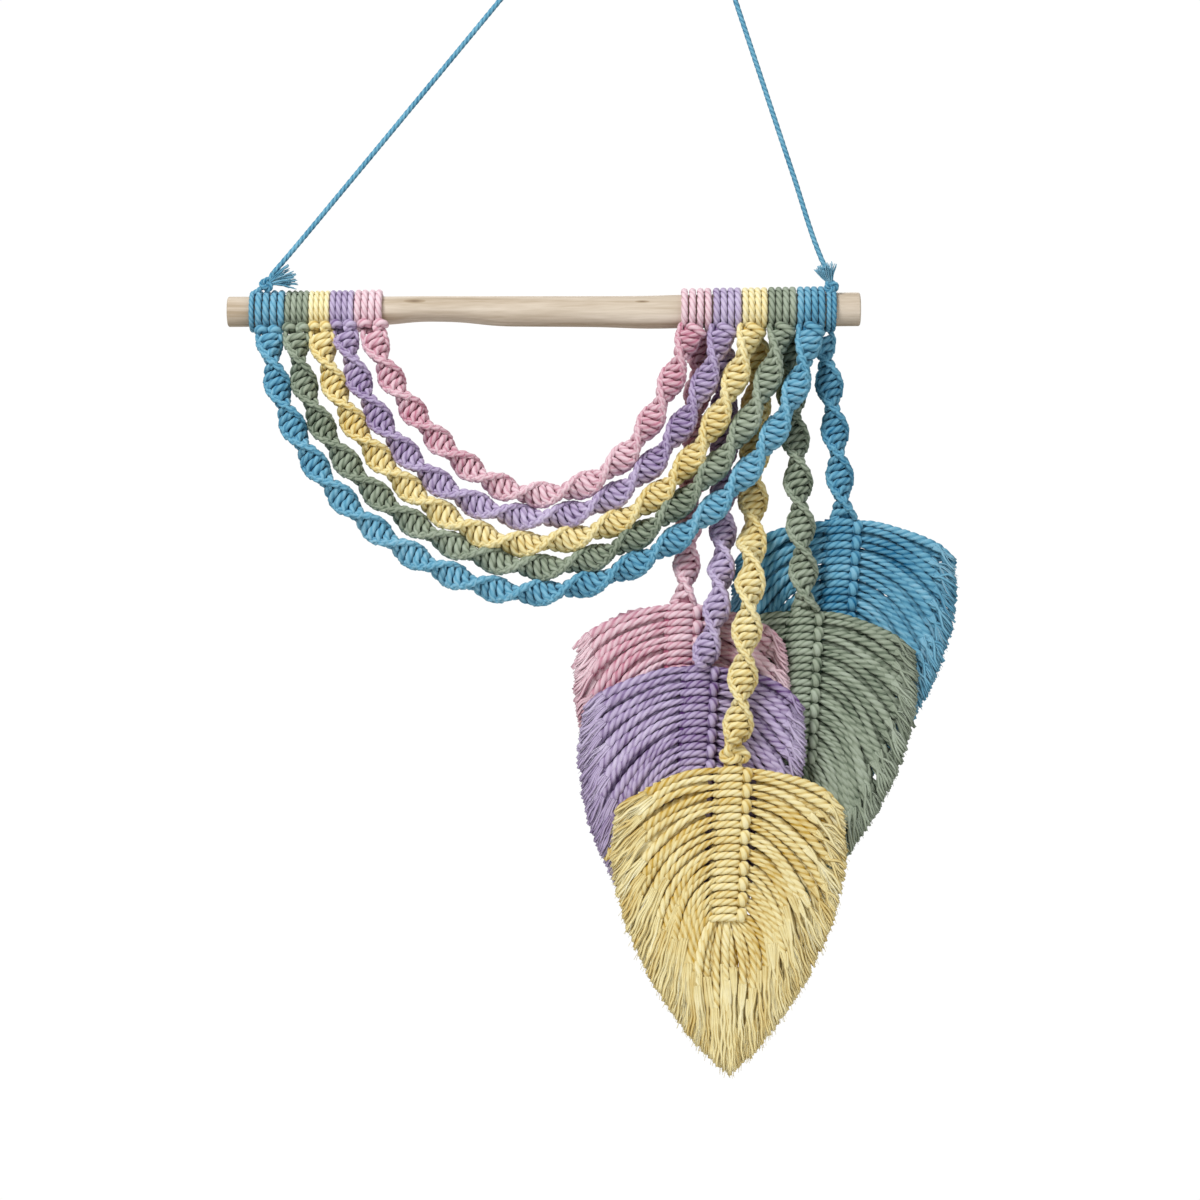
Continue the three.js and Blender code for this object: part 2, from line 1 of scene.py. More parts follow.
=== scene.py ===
import math
import bpy
import numpy as np
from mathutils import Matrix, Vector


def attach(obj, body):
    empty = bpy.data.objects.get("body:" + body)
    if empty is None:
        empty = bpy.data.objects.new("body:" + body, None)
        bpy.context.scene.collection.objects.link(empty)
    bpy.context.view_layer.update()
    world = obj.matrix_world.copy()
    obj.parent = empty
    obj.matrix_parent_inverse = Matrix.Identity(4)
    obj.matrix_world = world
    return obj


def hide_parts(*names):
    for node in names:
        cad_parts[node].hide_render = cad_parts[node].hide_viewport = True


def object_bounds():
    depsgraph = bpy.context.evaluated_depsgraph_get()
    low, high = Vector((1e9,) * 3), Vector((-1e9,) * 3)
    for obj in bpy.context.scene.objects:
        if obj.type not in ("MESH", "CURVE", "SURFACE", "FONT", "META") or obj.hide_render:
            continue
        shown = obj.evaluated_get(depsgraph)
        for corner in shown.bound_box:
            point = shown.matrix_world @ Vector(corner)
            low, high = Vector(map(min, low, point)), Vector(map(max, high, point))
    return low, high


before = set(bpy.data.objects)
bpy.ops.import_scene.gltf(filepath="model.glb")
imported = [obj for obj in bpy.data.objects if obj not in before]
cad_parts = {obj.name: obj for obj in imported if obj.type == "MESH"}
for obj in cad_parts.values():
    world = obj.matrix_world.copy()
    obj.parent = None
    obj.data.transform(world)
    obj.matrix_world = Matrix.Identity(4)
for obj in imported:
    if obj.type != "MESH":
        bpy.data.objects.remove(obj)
cad_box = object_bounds()

# The picture: the hanging seen straight on, in plain soft light from the upper left, against
# white. A pale floor lies some way below its tips, out of the camera's sight.
PICTURE_MIDDLE = (-0.0315, -0.39345)
PICTURE_WIDTH = 0.6
LENS = 100.0
SENSOR = 36.0
ROOM_LIGHT = (1.0, 0.985, 0.96, 1.0)
ROOM_STRENGTH = 0.34
WHITE = (1.0, 1.0, 1.0, 1.0)
WHITE_STRENGTH = 1.02
FLOOR_BELOW = 0.14
FLOOR_HALF_WIDTH = 0.6
FLOOR_HALF_DEPTH = 0.3
FLOOR_COLOUR = (0.9, 0.89, 0.87, 1.0)
FLOOR_ROUGHNESS = 0.9


def aimed(thing, place, target):
    """Puts a camera or light at place with its -Z axis along the way to target."""
    way = np.subtract(target, place)
    flat = math.hypot(way[0], way[1])
    thing.location = place
    thing.rotation_euler = (math.pi / 2 + math.atan2(way[2], flat), 0, math.atan2(-way[0], way[1]))
    bpy.context.scene.collection.objects.link(thing)
    return thing


def window(name, place, size, watts):
    """A square soft light of that size in metres, aimed at the middle of the picture."""
    light = bpy.data.lights.new(name, "AREA")
    light.size = size
    light.energy = watts
    return aimed(bpy.data.objects.new(name, light), place, target)


class Sum:
    """A shader value that Python's operators work on: each one adds a Math node."""

    def __init__(self, finish, socket):
        self.finish = finish
        self.socket = socket

    def math(self, operation, first, second):
        return self.finish.node("ShaderNodeMath", {"operation": operation}, {0: first, 1: second})

    def __add__(self, other):
        return self.math("ADD", self, other)

    def __sub__(self, other):
        return self.math("SUBTRACT", self, other)

    def __rsub__(self, other):
        return self.math("SUBTRACT", other, self)

    def __mul__(self, other):
        return self.math("MULTIPLY", self, other)

    def at_least(self, lowest):
        return self.math("MAXIMUM", self, lowest)

    __radd__ = __add__
    __rmul__ = __mul__


class Finish:
    """The nodes of a material, or of the light all round, which owns them."""

    def __init__(self, owner):
        self.owner = owner
        self.owner.use_nodes = True
        self.tree = self.owner.node_tree
        self.tree.nodes.clear()

    def node(self, kind, settings=None, inputs=None, output=0):
        """Adds a node: first its settings, or the stops of its ramp, then its sockets. Gives the
        output of that name or number, or a list of them."""
        made = self.tree.nodes.new(kind)
        for key, value in (settings or {}).items():
            if key == "stops":
                for number, (place, colour) in enumerate(value):
                    ramp = made.color_ramp.elements
                    stop = ramp[number] if number < len(ramp) else ramp.new(place)
                    stop.position = place
                    stop.color = colour
            else:
                setattr(made, key, value)
        for key, value in (inputs or {}).items():
            if isinstance(value, Sum):
                self.tree.links.new(value.socket, made.inputs[key])
            else:
                made.inputs[key].default_value = value
        if isinstance(output, tuple):
            return [Sum(self, made.outputs[each]) for each in output]
        return Sum(self, made.outputs[output]) if made.outputs else None

    def surface(self, sockets):
        """Ends a material with its surface shader, and gives the material."""
        shader = self.node("ShaderNodeBsdfPrincipled", None, sockets)
        self.node("ShaderNodeOutputMaterial", None, {"Surface": shader})
        return self.owner


middle_x, middle_z = PICTURE_MIDDLE
camera_data = bpy.data.cameras.new("camera")
camera_data.lens = LENS
camera_data.sensor_width = SENSOR
distance = PICTURE_WIDTH * LENS / SENSOR
target = (middle_x, 0, middle_z)
camera = aimed(bpy.data.objects.new("camera", camera_data), (middle_x, -distance, middle_z), target)
bpy.context.scene.camera = camera

window("key_light", (-0.9, -1.3, 0.75), 0.7, 34)
window("fill_light", (1.3, -1.2, -0.3), 1.2, 9)
window("back_light", (0.4, 1.5, 0.5), 1.2, 20)

room = Finish(bpy.data.worlds.new("room"))
lit = room.node("ShaderNodeBackground", None, {"Color": ROOM_LIGHT, "Strength": ROOM_STRENGTH})
white = room.node("ShaderNodeBackground", None, {"Color": WHITE, "Strength": WHITE_STRENGTH})
seen = room.node("ShaderNodeLightPath", None, None, "Is Camera Ray")
behind = room.node("ShaderNodeMixShader", None, {0: seen, 1: lit, 2: white})
room.node("ShaderNodeOutputWorld", None, {"Surface": behind})
bpy.context.scene.world = room.owner
bpy.context.scene.view_settings.view_transform = "Standard"

floor_z = cad_box[0].z - FLOOR_BELOW
floor_corners = [
    (middle_x + x * FLOOR_HALF_WIDTH, y * FLOOR_HALF_DEPTH, floor_z)
    for x, y in ((-1, -1), (1, -1), (1, 1), (-1, 1))
]
floor_mesh = bpy.data.meshes.new("floor")
floor_mesh.from_pydata(floor_corners, [], [(0, 1, 2, 3)])
paper = Finish(bpy.data.materials.new("pale_floor"))
floor_mesh.materials.append(paper.surface({"Base Color": FLOOR_COLOUR, "Roughness": FLOOR_ROUGHNESS}))
floor = bpy.data.objects.new("floor", floor_mesh)
bpy.context.scene.collection.objects.link(floor)


# The hanging cord: a thin, light-blue cotton cord of three plies, twisted to the left. It is taut
# from the knot at the left end of the dowel up to its hook and down to the right-hand knot.
MM = 0.001
CORD_DIAMETER = 2.7
CORD_LAY = 9.0
CORD_STEPS = 430
CORD_ROUTE = np.array([
    (-194.3, -6.5, -230.7), (-188.2, -6.3, -223.6), (-160.0, -5.3, -189.6), (-120.0, -4.0, -141.0),
    (-80.0, -2.6, -92.3), (-40.0, -1.3, -43.7), (-12.0, -0.3, -9.6), (-5.0, 0.0, -1.1),
    (-2.7, 0.0, 0.75), (0.0, 0.0, 1.35), (2.9, 0.0, 0.65), (5.1, 0.0, -1.2),
    (6.2, 0.0, -3.3), (9.0, -0.2, -11.8), (25.0, -1.5, -60.4), (45.0, -3.1, -121.2),
    (65.0, -4.8, -182.1), (78.4, -5.9, -222.5), (81.9, -6.2, -230.6),
])
BLUE = {"deep": (0, 88, 128), "middle": (106, 165, 191), "light": (173, 211, 229)}
FRONT = np.array([0.0, -1.0, 0.0])
# A ply's sides, its groove as a share of the radius, and how much shade is painted down the
# flanks of a cord.
PLY_SIDES = 12
PLY_GROOVE = 0.2
FLANK_PAINTED_SHADE = 0.9
# Cotton: how fine the patches of dye and the fibres are, and how much each shows.
DYE_SCALE = 70.0
DYE_SHOWS = 0.45
FIBRE_SCALE = (0.22, 21.0, 1.0)
FIBRES_SHOW = 0.6
# How much the painted shade of the grooves and flanks darkens a cord.
PAINTED_SHADE_STRENGTH = 0.3
FRAY_PALER = 0.03
COTTON_ROUGHNESS = 0.86
COTTON_RELIEF = 0.0004


def unit(vectors):
    """The vectors, each divided by its own length."""
    return vectors / np.linalg.norm(vectors, axis=-1, keepdims=True)


def distance_along(points):
    """The way from the first point to each one, as the sum of the straight steps between them."""
    steps = np.linalg.norm(np.diff(points, axis=-2), axis=-1)
    return np.concatenate([0 * steps[..., :1], np.cumsum(steps, axis=-1)], axis=-1)


def smooth_path(points, places):
    """A curve through points, at places from 0 to 1 of the sum of their distances: cubic pieces
    whose slope at a point is that of the parabola through it and its neighbours."""
    at = distance_along(points)
    slopes = np.gradient(points, at, axis=0)
    here = np.asarray(places) * at[-1]
    left = np.clip(np.searchsorted(at, here, side="right") - 1, 0, len(at) - 2)
    span = (at[left + 1] - at[left])[..., None]
    u = (here - at[left])[..., None] / span
    start, end = points[left], points[left + 1]
    return (
        start * (1 + 2 * u) * (1 - u) ** 2
        + slopes[left] * span * u * (1 - u) ** 2
        + end * u**2 * (3 - 2 * u)
        + slopes[left + 1] * span * u**2 * (u - 1)
    )


def plied(sides, groove):
    """The outline of three plies side by side in a ring: the radius falls from 1 at the middle of
    a ply to 1 - groove between two, as the root of the cosine of 1.5 times the angle does. Gives
    each corner's angle, radius and depth of groove."""
    angles = 2 * np.pi * (np.arange(sides) + 0.5 * (sides % 2)) / sides
    crown = np.sqrt(np.abs(np.cos(1.5 * angles)))
    depth = (1 - crown) / (1 - crown).max()
    return angles, 1 - groove * depth, depth


def with_axes(values, axes):
    """The values as an array, with single axes added behind its own up to that number."""
    values = np.asarray(values, float)
    return values.reshape(values.shape + (1,) * (axes - values.ndim))


def strands(
    paths, reference, radius, lay=None, sides=PLY_SIDES, flat=1.0, tone=0.5, fray=0.0,
    groove=PLY_GROOVE, flank_shade=FLANK_PAINTED_SHADE,
):
    """Tubes round paths, an array of strands, steps and xyz in millimetres. A corner of a ring is
    the path plus radius times (cosine of its angle towards reference, made square to the path,
    and flat times its sine to the side). With a lay the tube is three-ply, and the angle turns
    left-handed once for each lay. Lay, flat and tone are one value for all, or one for each
    strand or step. Gives the rings, and for each corner its painted shade, tone and fray and its
    distance along. The painted shade darkens the grooves between plies and, by the flank weight,
    both flanks, with 1 - the cosine's size to the power 1.5."""
    along_path = unit(np.gradient(paths, axis=-2))
    upward = unit(reference - (reference * along_path).sum(-1, keepdims=True) * along_path)
    sideways = np.cross(along_path, upward)
    run = distance_along(paths)
    twisted = lay is not None
    angles, shares, grooves = plied(sides, groove if twisted else 0)
    turn = -2 * np.pi * run / lay if twisted else 0 * run
    angle = turn[..., None] + angles
    size = (np.broadcast_to(radius, run.shape)[..., None] * shares)[..., None]
    rings = paths[..., None, :] + size * (
        np.cos(angle)[..., None] * upward[..., None, :]
        + with_axes(flat, 4) * np.sin(angle)[..., None] * sideways[..., None, :]
    )
    corners = rings.shape[:-1]
    # Painted shade: darker in the ply grooves and down both flanks, where neighbouring cords would shade
    # them.
    depth = (grooves if twisted else 0) + flank_shade * (1 - np.abs(np.cos(angle))) ** 1.5
    looks = [depth, with_axes(tone, 3), with_axes(fray, 3)]
    looks = np.stack([np.broadcast_to(each, corners) for each in looks], axis=-1)
    return rings, looks, np.broadcast_to(run[..., None], corners)


def knotted(name, parts):
    """One mesh of many closed tubes. Each part is what strands() gives. A face joins two corners
    of a ring to the same two of the next ring, and one face closes each end. The UV map holds the
    distance along and the share of the way round."""
    corners, looks, loops, starts, totals, uvs = [], [], [], [], [], []
    first_corner = 0
    first_loop = 0
    for rings, look, run in parts:
        count, steps, sides = rings.shape[:3]
        index = first_corner + np.arange(count * steps * sides).reshape(count, steps, sides)
        beside = np.roll(index, -1, axis=2)
        quads = np.stack([index[:, :-1], beside[:, :-1], beside[:, 1:], index[:, 1:]], axis=-1)
        quads = quads.reshape(-1, 4)
        here = np.broadcast_to(np.arange(sides) / sides, index[:, :-1].shape)
        there = here + 1 / sides
        before, after = run[:, :-1], run[:, 1:]
        quad_uv = np.stack([
            np.stack([before, here], -1), np.stack([before, there], -1),
            np.stack([after, there], -1), np.stack([after, here], -1),
        ], axis=-2)
        caps = np.concatenate([index[:, 0, ::-1], index[:, -1]])
        loops += [quads.ravel(), caps.ravel()]
        uvs += [quad_uv.reshape(-1, 2), np.zeros((caps.size, 2))]
        starts.append(first_loop + 4 * np.arange(len(quads)))
        starts.append(first_loop + quads.size + sides * np.arange(len(caps)))
        totals += [np.full(len(quads), 4), np.full(len(caps), sides)]
        corners.append(rings.reshape(-1, 3))
        looks.append(look.reshape(-1, 3))
        first_corner += index.size
        first_loop += quads.size + caps.size
    corners = np.concatenate(corners) * MM
    loops, starts, totals = np.concatenate(loops), np.concatenate(starts), np.concatenate(totals)
    mesh = bpy.data.meshes.new(name)
    mesh.vertices.add(len(corners))
    mesh.vertices.foreach_set("co", corners.astype(np.float32).ravel())
    mesh.loops.add(len(loops))
    mesh.loops.foreach_set("vertex_index", loops.astype(np.int32))
    mesh.polygons.add(len(starts))
    mesh.polygons.foreach_set("loop_start", starts.astype(np.int32))
    mesh.polygons.foreach_set("loop_total", totals.astype(np.int32))
    mesh.polygons.foreach_set("use_smooth", np.ones(len(starts), bool))
    along = mesh.uv_layers.new(name="along")
    along.data.foreach_set("uv", np.concatenate(uvs).astype(np.float32).ravel())
    yarn = mesh.attributes.new("yarn", "FLOAT_VECTOR", "POINT")
    yarn.data.foreach_set("vector", np.concatenate(looks).astype(np.float32).ravel())
    mesh.update()
    mesh.validate()
    piece = bpy.data.objects.new(name, mesh)
    bpy.context.scene.collection.objects.link(piece)
    return piece


def shade(rgb):
    """A colour of 0 to 255 as seen, turned into the light that it gives back, with alpha 1."""
    seen_as = np.array(rgb) / 255
    linear = np.where(seen_as <= 0.04045, seen_as / 12.92, ((seen_as + 0.055) / 1.055) ** 2.4)
    return (*linear, 1.0)


def coloured(finish, colours, middle_at, lightness):
    """The colour for a lightness of 0 to 1, from deep over middle, at its own place, to light."""
    places = {"deep": 0.0, "middle": middle_at, "light": 1.0}
    stops = [(place, shade(colours[name])) for name, place in places.items()]
    return finish.node("ShaderNodeValToRGB", {"stops": stops}, {0: lightness})


def cotton(name, colours):
    """Soft matt cotton with painted shade: darker in its ply grooves and down its flanks, paler on
    the crown of a ply. It has fine fibres that run along the cord, slow uneven patches of dye, and
    frayed ends a little paler."""
    finish = Finish(bpy.data.materials.new(name))
    yarn = finish.node("ShaderNodeAttribute", {"attribute_name": "yarn"}, None, "Vector")
    groove, tone, fray = finish.node("ShaderNodeSeparateXYZ", None, {0: yarn}, (0, 1, 2))
    place = finish.node("ShaderNodeTexCoord", None, None, "Object")
    dye = finish.node("ShaderNodeTexNoise", None, {"Vector": place, "Scale": DYE_SCALE, "Detail": 3.0})
    along = finish.node("ShaderNodeTexCoord", None, None, "UV")
    stretched = finish.node("ShaderNodeMapping", None, {"Vector": along, "Scale": FIBRE_SCALE})
    fibres = finish.node("ShaderNodeTexNoise", None, {"Vector": stretched, "Scale": 1.0, "Detail": 4.0})
    uneven = (dye - 0.5) * DYE_SHOWS + (fibres - 0.5) * FIBRES_SHOW
    # The first value of the attribute is painted shade, for the ply grooves and the flanks of a cord.
    lightness = tone + uneven - groove * PAINTED_SHADE_STRENGTH + fray * FRAY_PALER
    relief = {"Height": fibres, "Strength": 0.55, "Distance": COTTON_RELIEF}
    return finish.surface({
        "Base Color": coloured(finish, colours, 0.46, lightness),
        "Roughness": COTTON_ROUGHNESS + fibres * 0.12,
        "Normal": finish.node("ShaderNodeBump", None, relief),
        "Sheen Weight": 0.05,
        "Sheen Roughness": 0.5,
        "Specular IOR Level": 0.12,
    })


def fitted(piece, material, slot, node):
    """Gives a piece its material, lets it ride with the hanging, and says which solid it replaces.
    The slot is not used."""
    piece.data.materials.append(material)
    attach(piece, "root")
    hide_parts(node)


blue_cotton = cotton("blue_cotton", BLUE)
cord_path = smooth_path(CORD_ROUTE, np.linspace(0, 1, CORD_STEPS))
hanging_cord = knotted(
    "hanging_cord_twisted",
    [strands(cord_path[None], FRONT, CORD_DIAMETER / 2, CORD_LAY)],
)
fitted(hanging_cord, blue_cotton, "cord_blue", "hanging_cord")
cord_path * MM


# The dowel: a pale, hand-sanded stick with faint grain, a little hollow underneath near its left
# third. It was cut square at both ends, and the cut edges are rubbed round.
DOWEL_SECTIONS = {
    "x": (-217.5, -139.5, -121.5, -101.5, -81.5, -31.5, -9.0, 8.5, 86.5, 98.5),
    "top": (-241.8, -241.7, -241.5, -241.5, -241.5, -241.5, -241.4, -240.8, -239.7, -239.6),
    "bottom": (-257.0, -256.2, -254.2, -254.5, -256.7, -257.0, -257.9, -257.6, -256.6, -256.5),
}
DOWEL_STEPS = 80
DOWEL_SIDES = 32
DOWEL_SOFT_TURN = 7.0
DOWEL_RADIUS = 7.7
DOWEL_LEAST_DEPTH = 15.0
DOWEL_EDGE = 1.1
DOWEL_EDGE_STEPS = 6
UP = np.array([0.0, 0.0, 1.0])
WOOD = {"deep": (106, 86, 64), "middle": (168, 150, 126), "light": (250, 240, 226)}
WOOD_LIGHTNESS = 0.62
GRAIN_SCALE = (7.0, 190.0, 190.0)
GRAIN_SHOWS = 0.7
PORE_SCALE = (90.0, 1500.0, 1500.0)
PORES_SHOW = 0.16
WOOD_RELIEF = 0.0003
# The middle of each fleck and its half size, in metres.
FLECKS = (
    ((-0.1238, -0.0065, -0.2445), (0.006, 0.004, 0.0012)),
    ((-0.0105, -0.0065, -0.2448), (0.004, 0.004, 0.0007)),
)
FLECK_DARKER = 0.5


def dowel_at(x):
    """The height of the dowel's middle and its half height at x: straight lines between the rows,
    averaged over DOWEL_SOFT_TURN to both sides, which makes the turns soft."""
    near = np.add.outer(np.linspace(-DOWEL_SOFT_TURN, DOWEL_SOFT_TURN, 15), x)
    top, bottom = (
        np.interp(near, DOWEL_SECTIONS["x"], DOWEL_SECTIONS[edge]).mean(0)
        for edge in ("top", "bottom")
    )
    return (top + bottom) / 2, (top - bottom) / 2


def wood():
    """Pale bare wood: long streaks of grain along the stick, fine pores and two darker flecks,
    each fading from its middle to the rim of its ellipsoid."""
    finish = Finish(bpy.data.materials.new("dowel_wood"))
    place = finish.node("ShaderNodeTexCoord", None, None, "Object")
    streaks = finish.node("ShaderNodeMapping", None, {"Vector": place, "Scale": GRAIN_SCALE})
    noise = {"Vector": streaks, "Scale": 1.0, "Detail": 5.0, "Distortion": 0.6}
    grain = finish.node("ShaderNodeTexNoise", None, noise)
    dots = finish.node("ShaderNodeMapping", None, {"Vector": place, "Scale": PORE_SCALE})
    pores = finish.node("ShaderNodeTexNoise", None, {"Vector": dots, "Scale": 1.0, "Detail": 2.0})
    lightness = WOOD_LIGHTNESS + (grain - 0.5) * GRAIN_SHOWS + (pores - 0.5) * PORES_SHOW
    for middle, half_size in FLECKS:
        away = finish.node("ShaderNodeVectorMath", {"operation": "SUBTRACT"}, {0: place, 1: middle})
        shares = finish.node("ShaderNodeVectorMath", {"operation": "DIVIDE"}, {0: away, 1: half_size})
        reach = finish.node("ShaderNodeVectorMath", {"operation": "LENGTH"}, {0: shares}, "Value")
        lightness = lightness - (1 - reach).at_least(0.0) * FLECK_DARKER
    relief = {"Height": grain + pores * 0.5, "Strength": 0.25, "Distance": WOOD_RELIEF}
    return finish.surface({
        "Base Color": coloured(finish, WOOD, 0.5, lightness),
        "Roughness": 0.5 + grain * 0.2,
        "Normal": finish.node("ShaderNodeBump", None, relief),
        "Specular IOR Level": 0.35,
    })


dowel_left, dowel_right = DOWEL_SECTIONS["x"][0], DOWEL_SECTIONS["x"][-1]
edge_angles = np.linspace(0, np.pi / 2, DOWEL_EDGE_STEPS)
edge_x = DOWEL_EDGE * (1 - np.cos(edge_angles))[:-1]
dowel_x = np.concatenate([
    dowel_left + edge_x,
    np.linspace(dowel_left + DOWEL_EDGE, dowel_right - DOWEL_EDGE, DOWEL_STEPS),
    dowel_right - edge_x[::-1],
])
from_end = np.minimum(dowel_x - dowel_left, dowel_right - dowel_x)
on_edge = 1 - np.clip(from_end / DOWEL_EDGE, 0, 1)
rubbed = 1 - DOWEL_EDGE * (1 - np.sqrt(1 - on_edge**2)) / DOWEL_RADIUS
dowel_z, dowel_half = dowel_at(dowel_x)
dowel_path = np.stack([dowel_x, 0 * dowel_x, dowel_z], -1)
rings, looks, run = strands(dowel_path[None], UP, dowel_half * rubbed, None, DOWEL_SIDES)
rings[..., 1] *= (np.maximum(dowel_half, DOWEL_LEAST_DEPTH / 2) / dowel_half)[None, :, None]
fitted(knotted("dowel_stick", [(rings, looks, run)]), wood(), "dowel_wood", "dowel")


# The ties: at each end of the dowel the cord goes round the wood, is knotted on itself, and its
# cut end is teased out into a little tuft. The left one has one loop and the right one two.
CORD_SIDES = 9
# "bow" turns the knot and "leaving" is where the cord leaves its loop. The tuft fans out between
# two angles and leans forward. All are in millimetres and degrees.
TIES = [
    {
        "name": "left_tie", "cord_end": CORD_ROUTE[0], "loops": (-205.0,), "knot": (-197.4, -6.5, -236.2),
        "bow": 50.5, "leaving": 70.0,
        "from": -4.0, "to": 47.0, "forward": 0.1, "length": 14.0, "droop": 0.8,
    },
    {
        "name": "right_tie", "cord_end": CORD_ROUTE[-1], "loops": (82.5, 85.0), "knot": (83.6, -6.4, -237.2),
        "bow": 108.0, "leaving": 55.0,
        "from": 78.0, "to": 138.0, "forward": 0.32, "length": 10.8, "droop": 0.0,
    },
]
LOOP_RISE = 0.25
LOOP_SLANT = 0.4
LOOP_START = 0.5
LOOP_STEPS = 64
LOOP_TURNS = 1.02
TIE_KNOT_RADIUS = 1.95
TIE_KNOT_CORD_RADIUS = 1.15
LINK_STEPS = 12
LINK_WIDER = 0.05
TUFT_FIBRES = 70
TUFT_START = 1.2
FIBRE_STEPS = 8
FIBRE_RADIUS = 0.42
FIBRE_WAVE = 0.5
rng = np.random.default_rng(7)


def loop_round(x, rise, slant, start, steps):
    """A ring of cord round the dowel: a circle in the plane across it, that starts at an angle
    from the back and drifts sideways by slant over its turn, ending a little past its start."""
    angle = np.linspace(start, start + 2 * np.pi * LOOP_TURNS, steps)
    z, half = dowel_at(x)
    away = max(half, DOWEL_LEAST_DEPTH / 2) + rise
    across = x + slant * (angle - angle[0]) / (2 * np.pi) - slant / 2
    return np.stack([across, away * np.cos(angle), z - away * np.sin(angle)], -1)


def off_the_wood(rings, z):
    """At each point of the rings, the way straight out from the line along the dowel at height z."""
    return unit((rings - (0, 0, z)) * (0, 1, 1))


def overhand(centre, size, bow, radius, lay, sides, stretch=(1.0, 1.0, 1.0)):
    """A knot of three bows in the picture's plane, turned by bow. Over two turns u, the distance
    from its centre is size times (2 + cos 1.5 u) / 2, and the depth is size times sin 1.5 u / 2."""
    u = np.linspace(0, 4 * np.pi, 96)
    ring = size * (2 + np.cos(1.5 * u)) / 2
    turned = u + math.radians(bow)
    away = np.stack([ring * np.cos(turned), -size * np.sin(1.5 * u) / 2, ring * np.sin(turned)], -1)
    away = away * stretch
    outward = unit(away + 0.001 * UP)
    return strands((centre + away)[None], outward[None], radius, lay, sides)


def tuft(tie):
    """Fibres that leave the knot in a fan: straight lines with a small sideways wave, each with
    its own angle, length and lift to the front. Droop grows with the square of the place."""
    angle = np.radians(rng.uniform(tie["from"], tie["to"], TUFT_FIBRES))
    lift = tie["forward"] + rng.normal(0, 0.12, TUFT_FIBRES)
    way = unit(np.stack([np.cos(angle), -lift, np.sin(angle)], -1))[:, None]
    long = tie["length"] * rng.uniform(0.72, 1.06, (TUFT_FIBRES, 1))
    waves = rng.uniform(3, 7, (TUFT_FIBRES, 1))
    phase = rng.uniform(0, 6, (TUFT_FIBRES, 1))
    tones = rng.uniform(0.35, 0.8, TUFT_FIBRES)
    share = np.linspace(0, 1, FIBRE_STEPS)
    reach = TUFT_START + share * long
    aside = FIBRE_WAVE * np.sin(share * waves + phase) * share
    paths = tie["knot"] + way * reach[..., None] + unit(np.cross(way, FRONT)) * aside[..., None]
    paths[..., 2] -= tie["droop"] * (share**2 * long) / 10
    return strands(paths, FRONT, FIBRE_RADIUS * (1 - 0.45 * share), None, 3, tone=tones, fray=1.0)


cord_radius = CORD_DIAMETER / 2
for tie in TIES:
    loops = np.array([
        loop_round(x, cord_radius + LOOP_RISE, LOOP_SLANT, LOOP_START, LOOP_STEPS) for x in tie["loops"]
    ])
    outward = off_the_wood(loops, dowel_at(tie["loops"][0])[0])
    tones = rng.uniform(0.4, 0.6, len(loops))
    knot = np.array(tie["knot"])
    parts = [
        strands(loops, outward, cord_radius, CORD_LAY, CORD_SIDES, tone=tones),
        overhand(knot, TIE_KNOT_RADIUS, tie["bow"], TIE_KNOT_CORD_RADIUS, CORD_LAY, CORD_SIDES),
    ]
    loop_x = sum(tie["loops"]) / len(tie["loops"])
    wood_z, wood_half = dowel_at(loop_x)
    leaving = math.radians(tie["leaving"])
    away = max(wood_half, DOWEL_LEAST_DEPTH / 2) + cord_radius
    on_loop = np.array([loop_x, -away * math.cos(leaving), wood_z + away * math.sin(leaving)])
    for outer, wider in ((on_loop, 0.0), (tie["cord_end"], LINK_WIDER)):
        link = outer + np.linspace(0, 1, LINK_STEPS)[:, None] * (knot - outer)
        parts.append(strands(link[None], FRONT, cord_radius + wider, CORD_LAY, CORD_SIDES))
    parts.append(tuft(tie))
    fitted(knotted(tie["name"] + "_knotted", parts), blue_cotton, "cord_blue", tie["name"])


# The garlands: five bows of half knots in four millimetre cord. Two working cords are knotted
# round two that lie inside, always the same way, so the band winds itself into a left-hand
# spiral. Both ends are wrapped four times round the dowel.
YARN_RADIUS = 1.8
YARN_LAY = 13.0
WRAPS = 4
WRAP_RISE = 1.6
WRAP_SLANT = (-0.4, 1.2)
WRAP_START = 0.3
WRAP_STEPS = 30
WRAP_PRESSED = 0.12
WRAP_GROOVE = 0.26
# How much shade is painted down the flanks of the wraps, between neighbouring rings.
WRAP_FLANK_PAINTED_SHADE = 0.7
KNOT_PITCH = 3.72
KNOT_STEPS = 12
KNOT_SIDES = 9
KNOT_HALF_WIDTH = 5.1
KNOT_HALF_DEPTH = 1.95
KNOT_RADIUS = (1.5, 2.0)
# How much shade is painted down the flanks of the knotted cords, towards the next knots.
KNOT_FLANK_PAINTED_SHADE = 0.32
KNOT_TONE_SWELL = 0.07
KNOT_TONE_LENGTH = 31.0
# The flat core inside a band, darker than its cords as painted shade: radius, flatness, tone and start.
CORE_RADIUS = 1.3
CORE_FLAT = 2.9
CORE_PAINTED_SHADE_TONE = 0.2
CORE_STARTS = 2.0
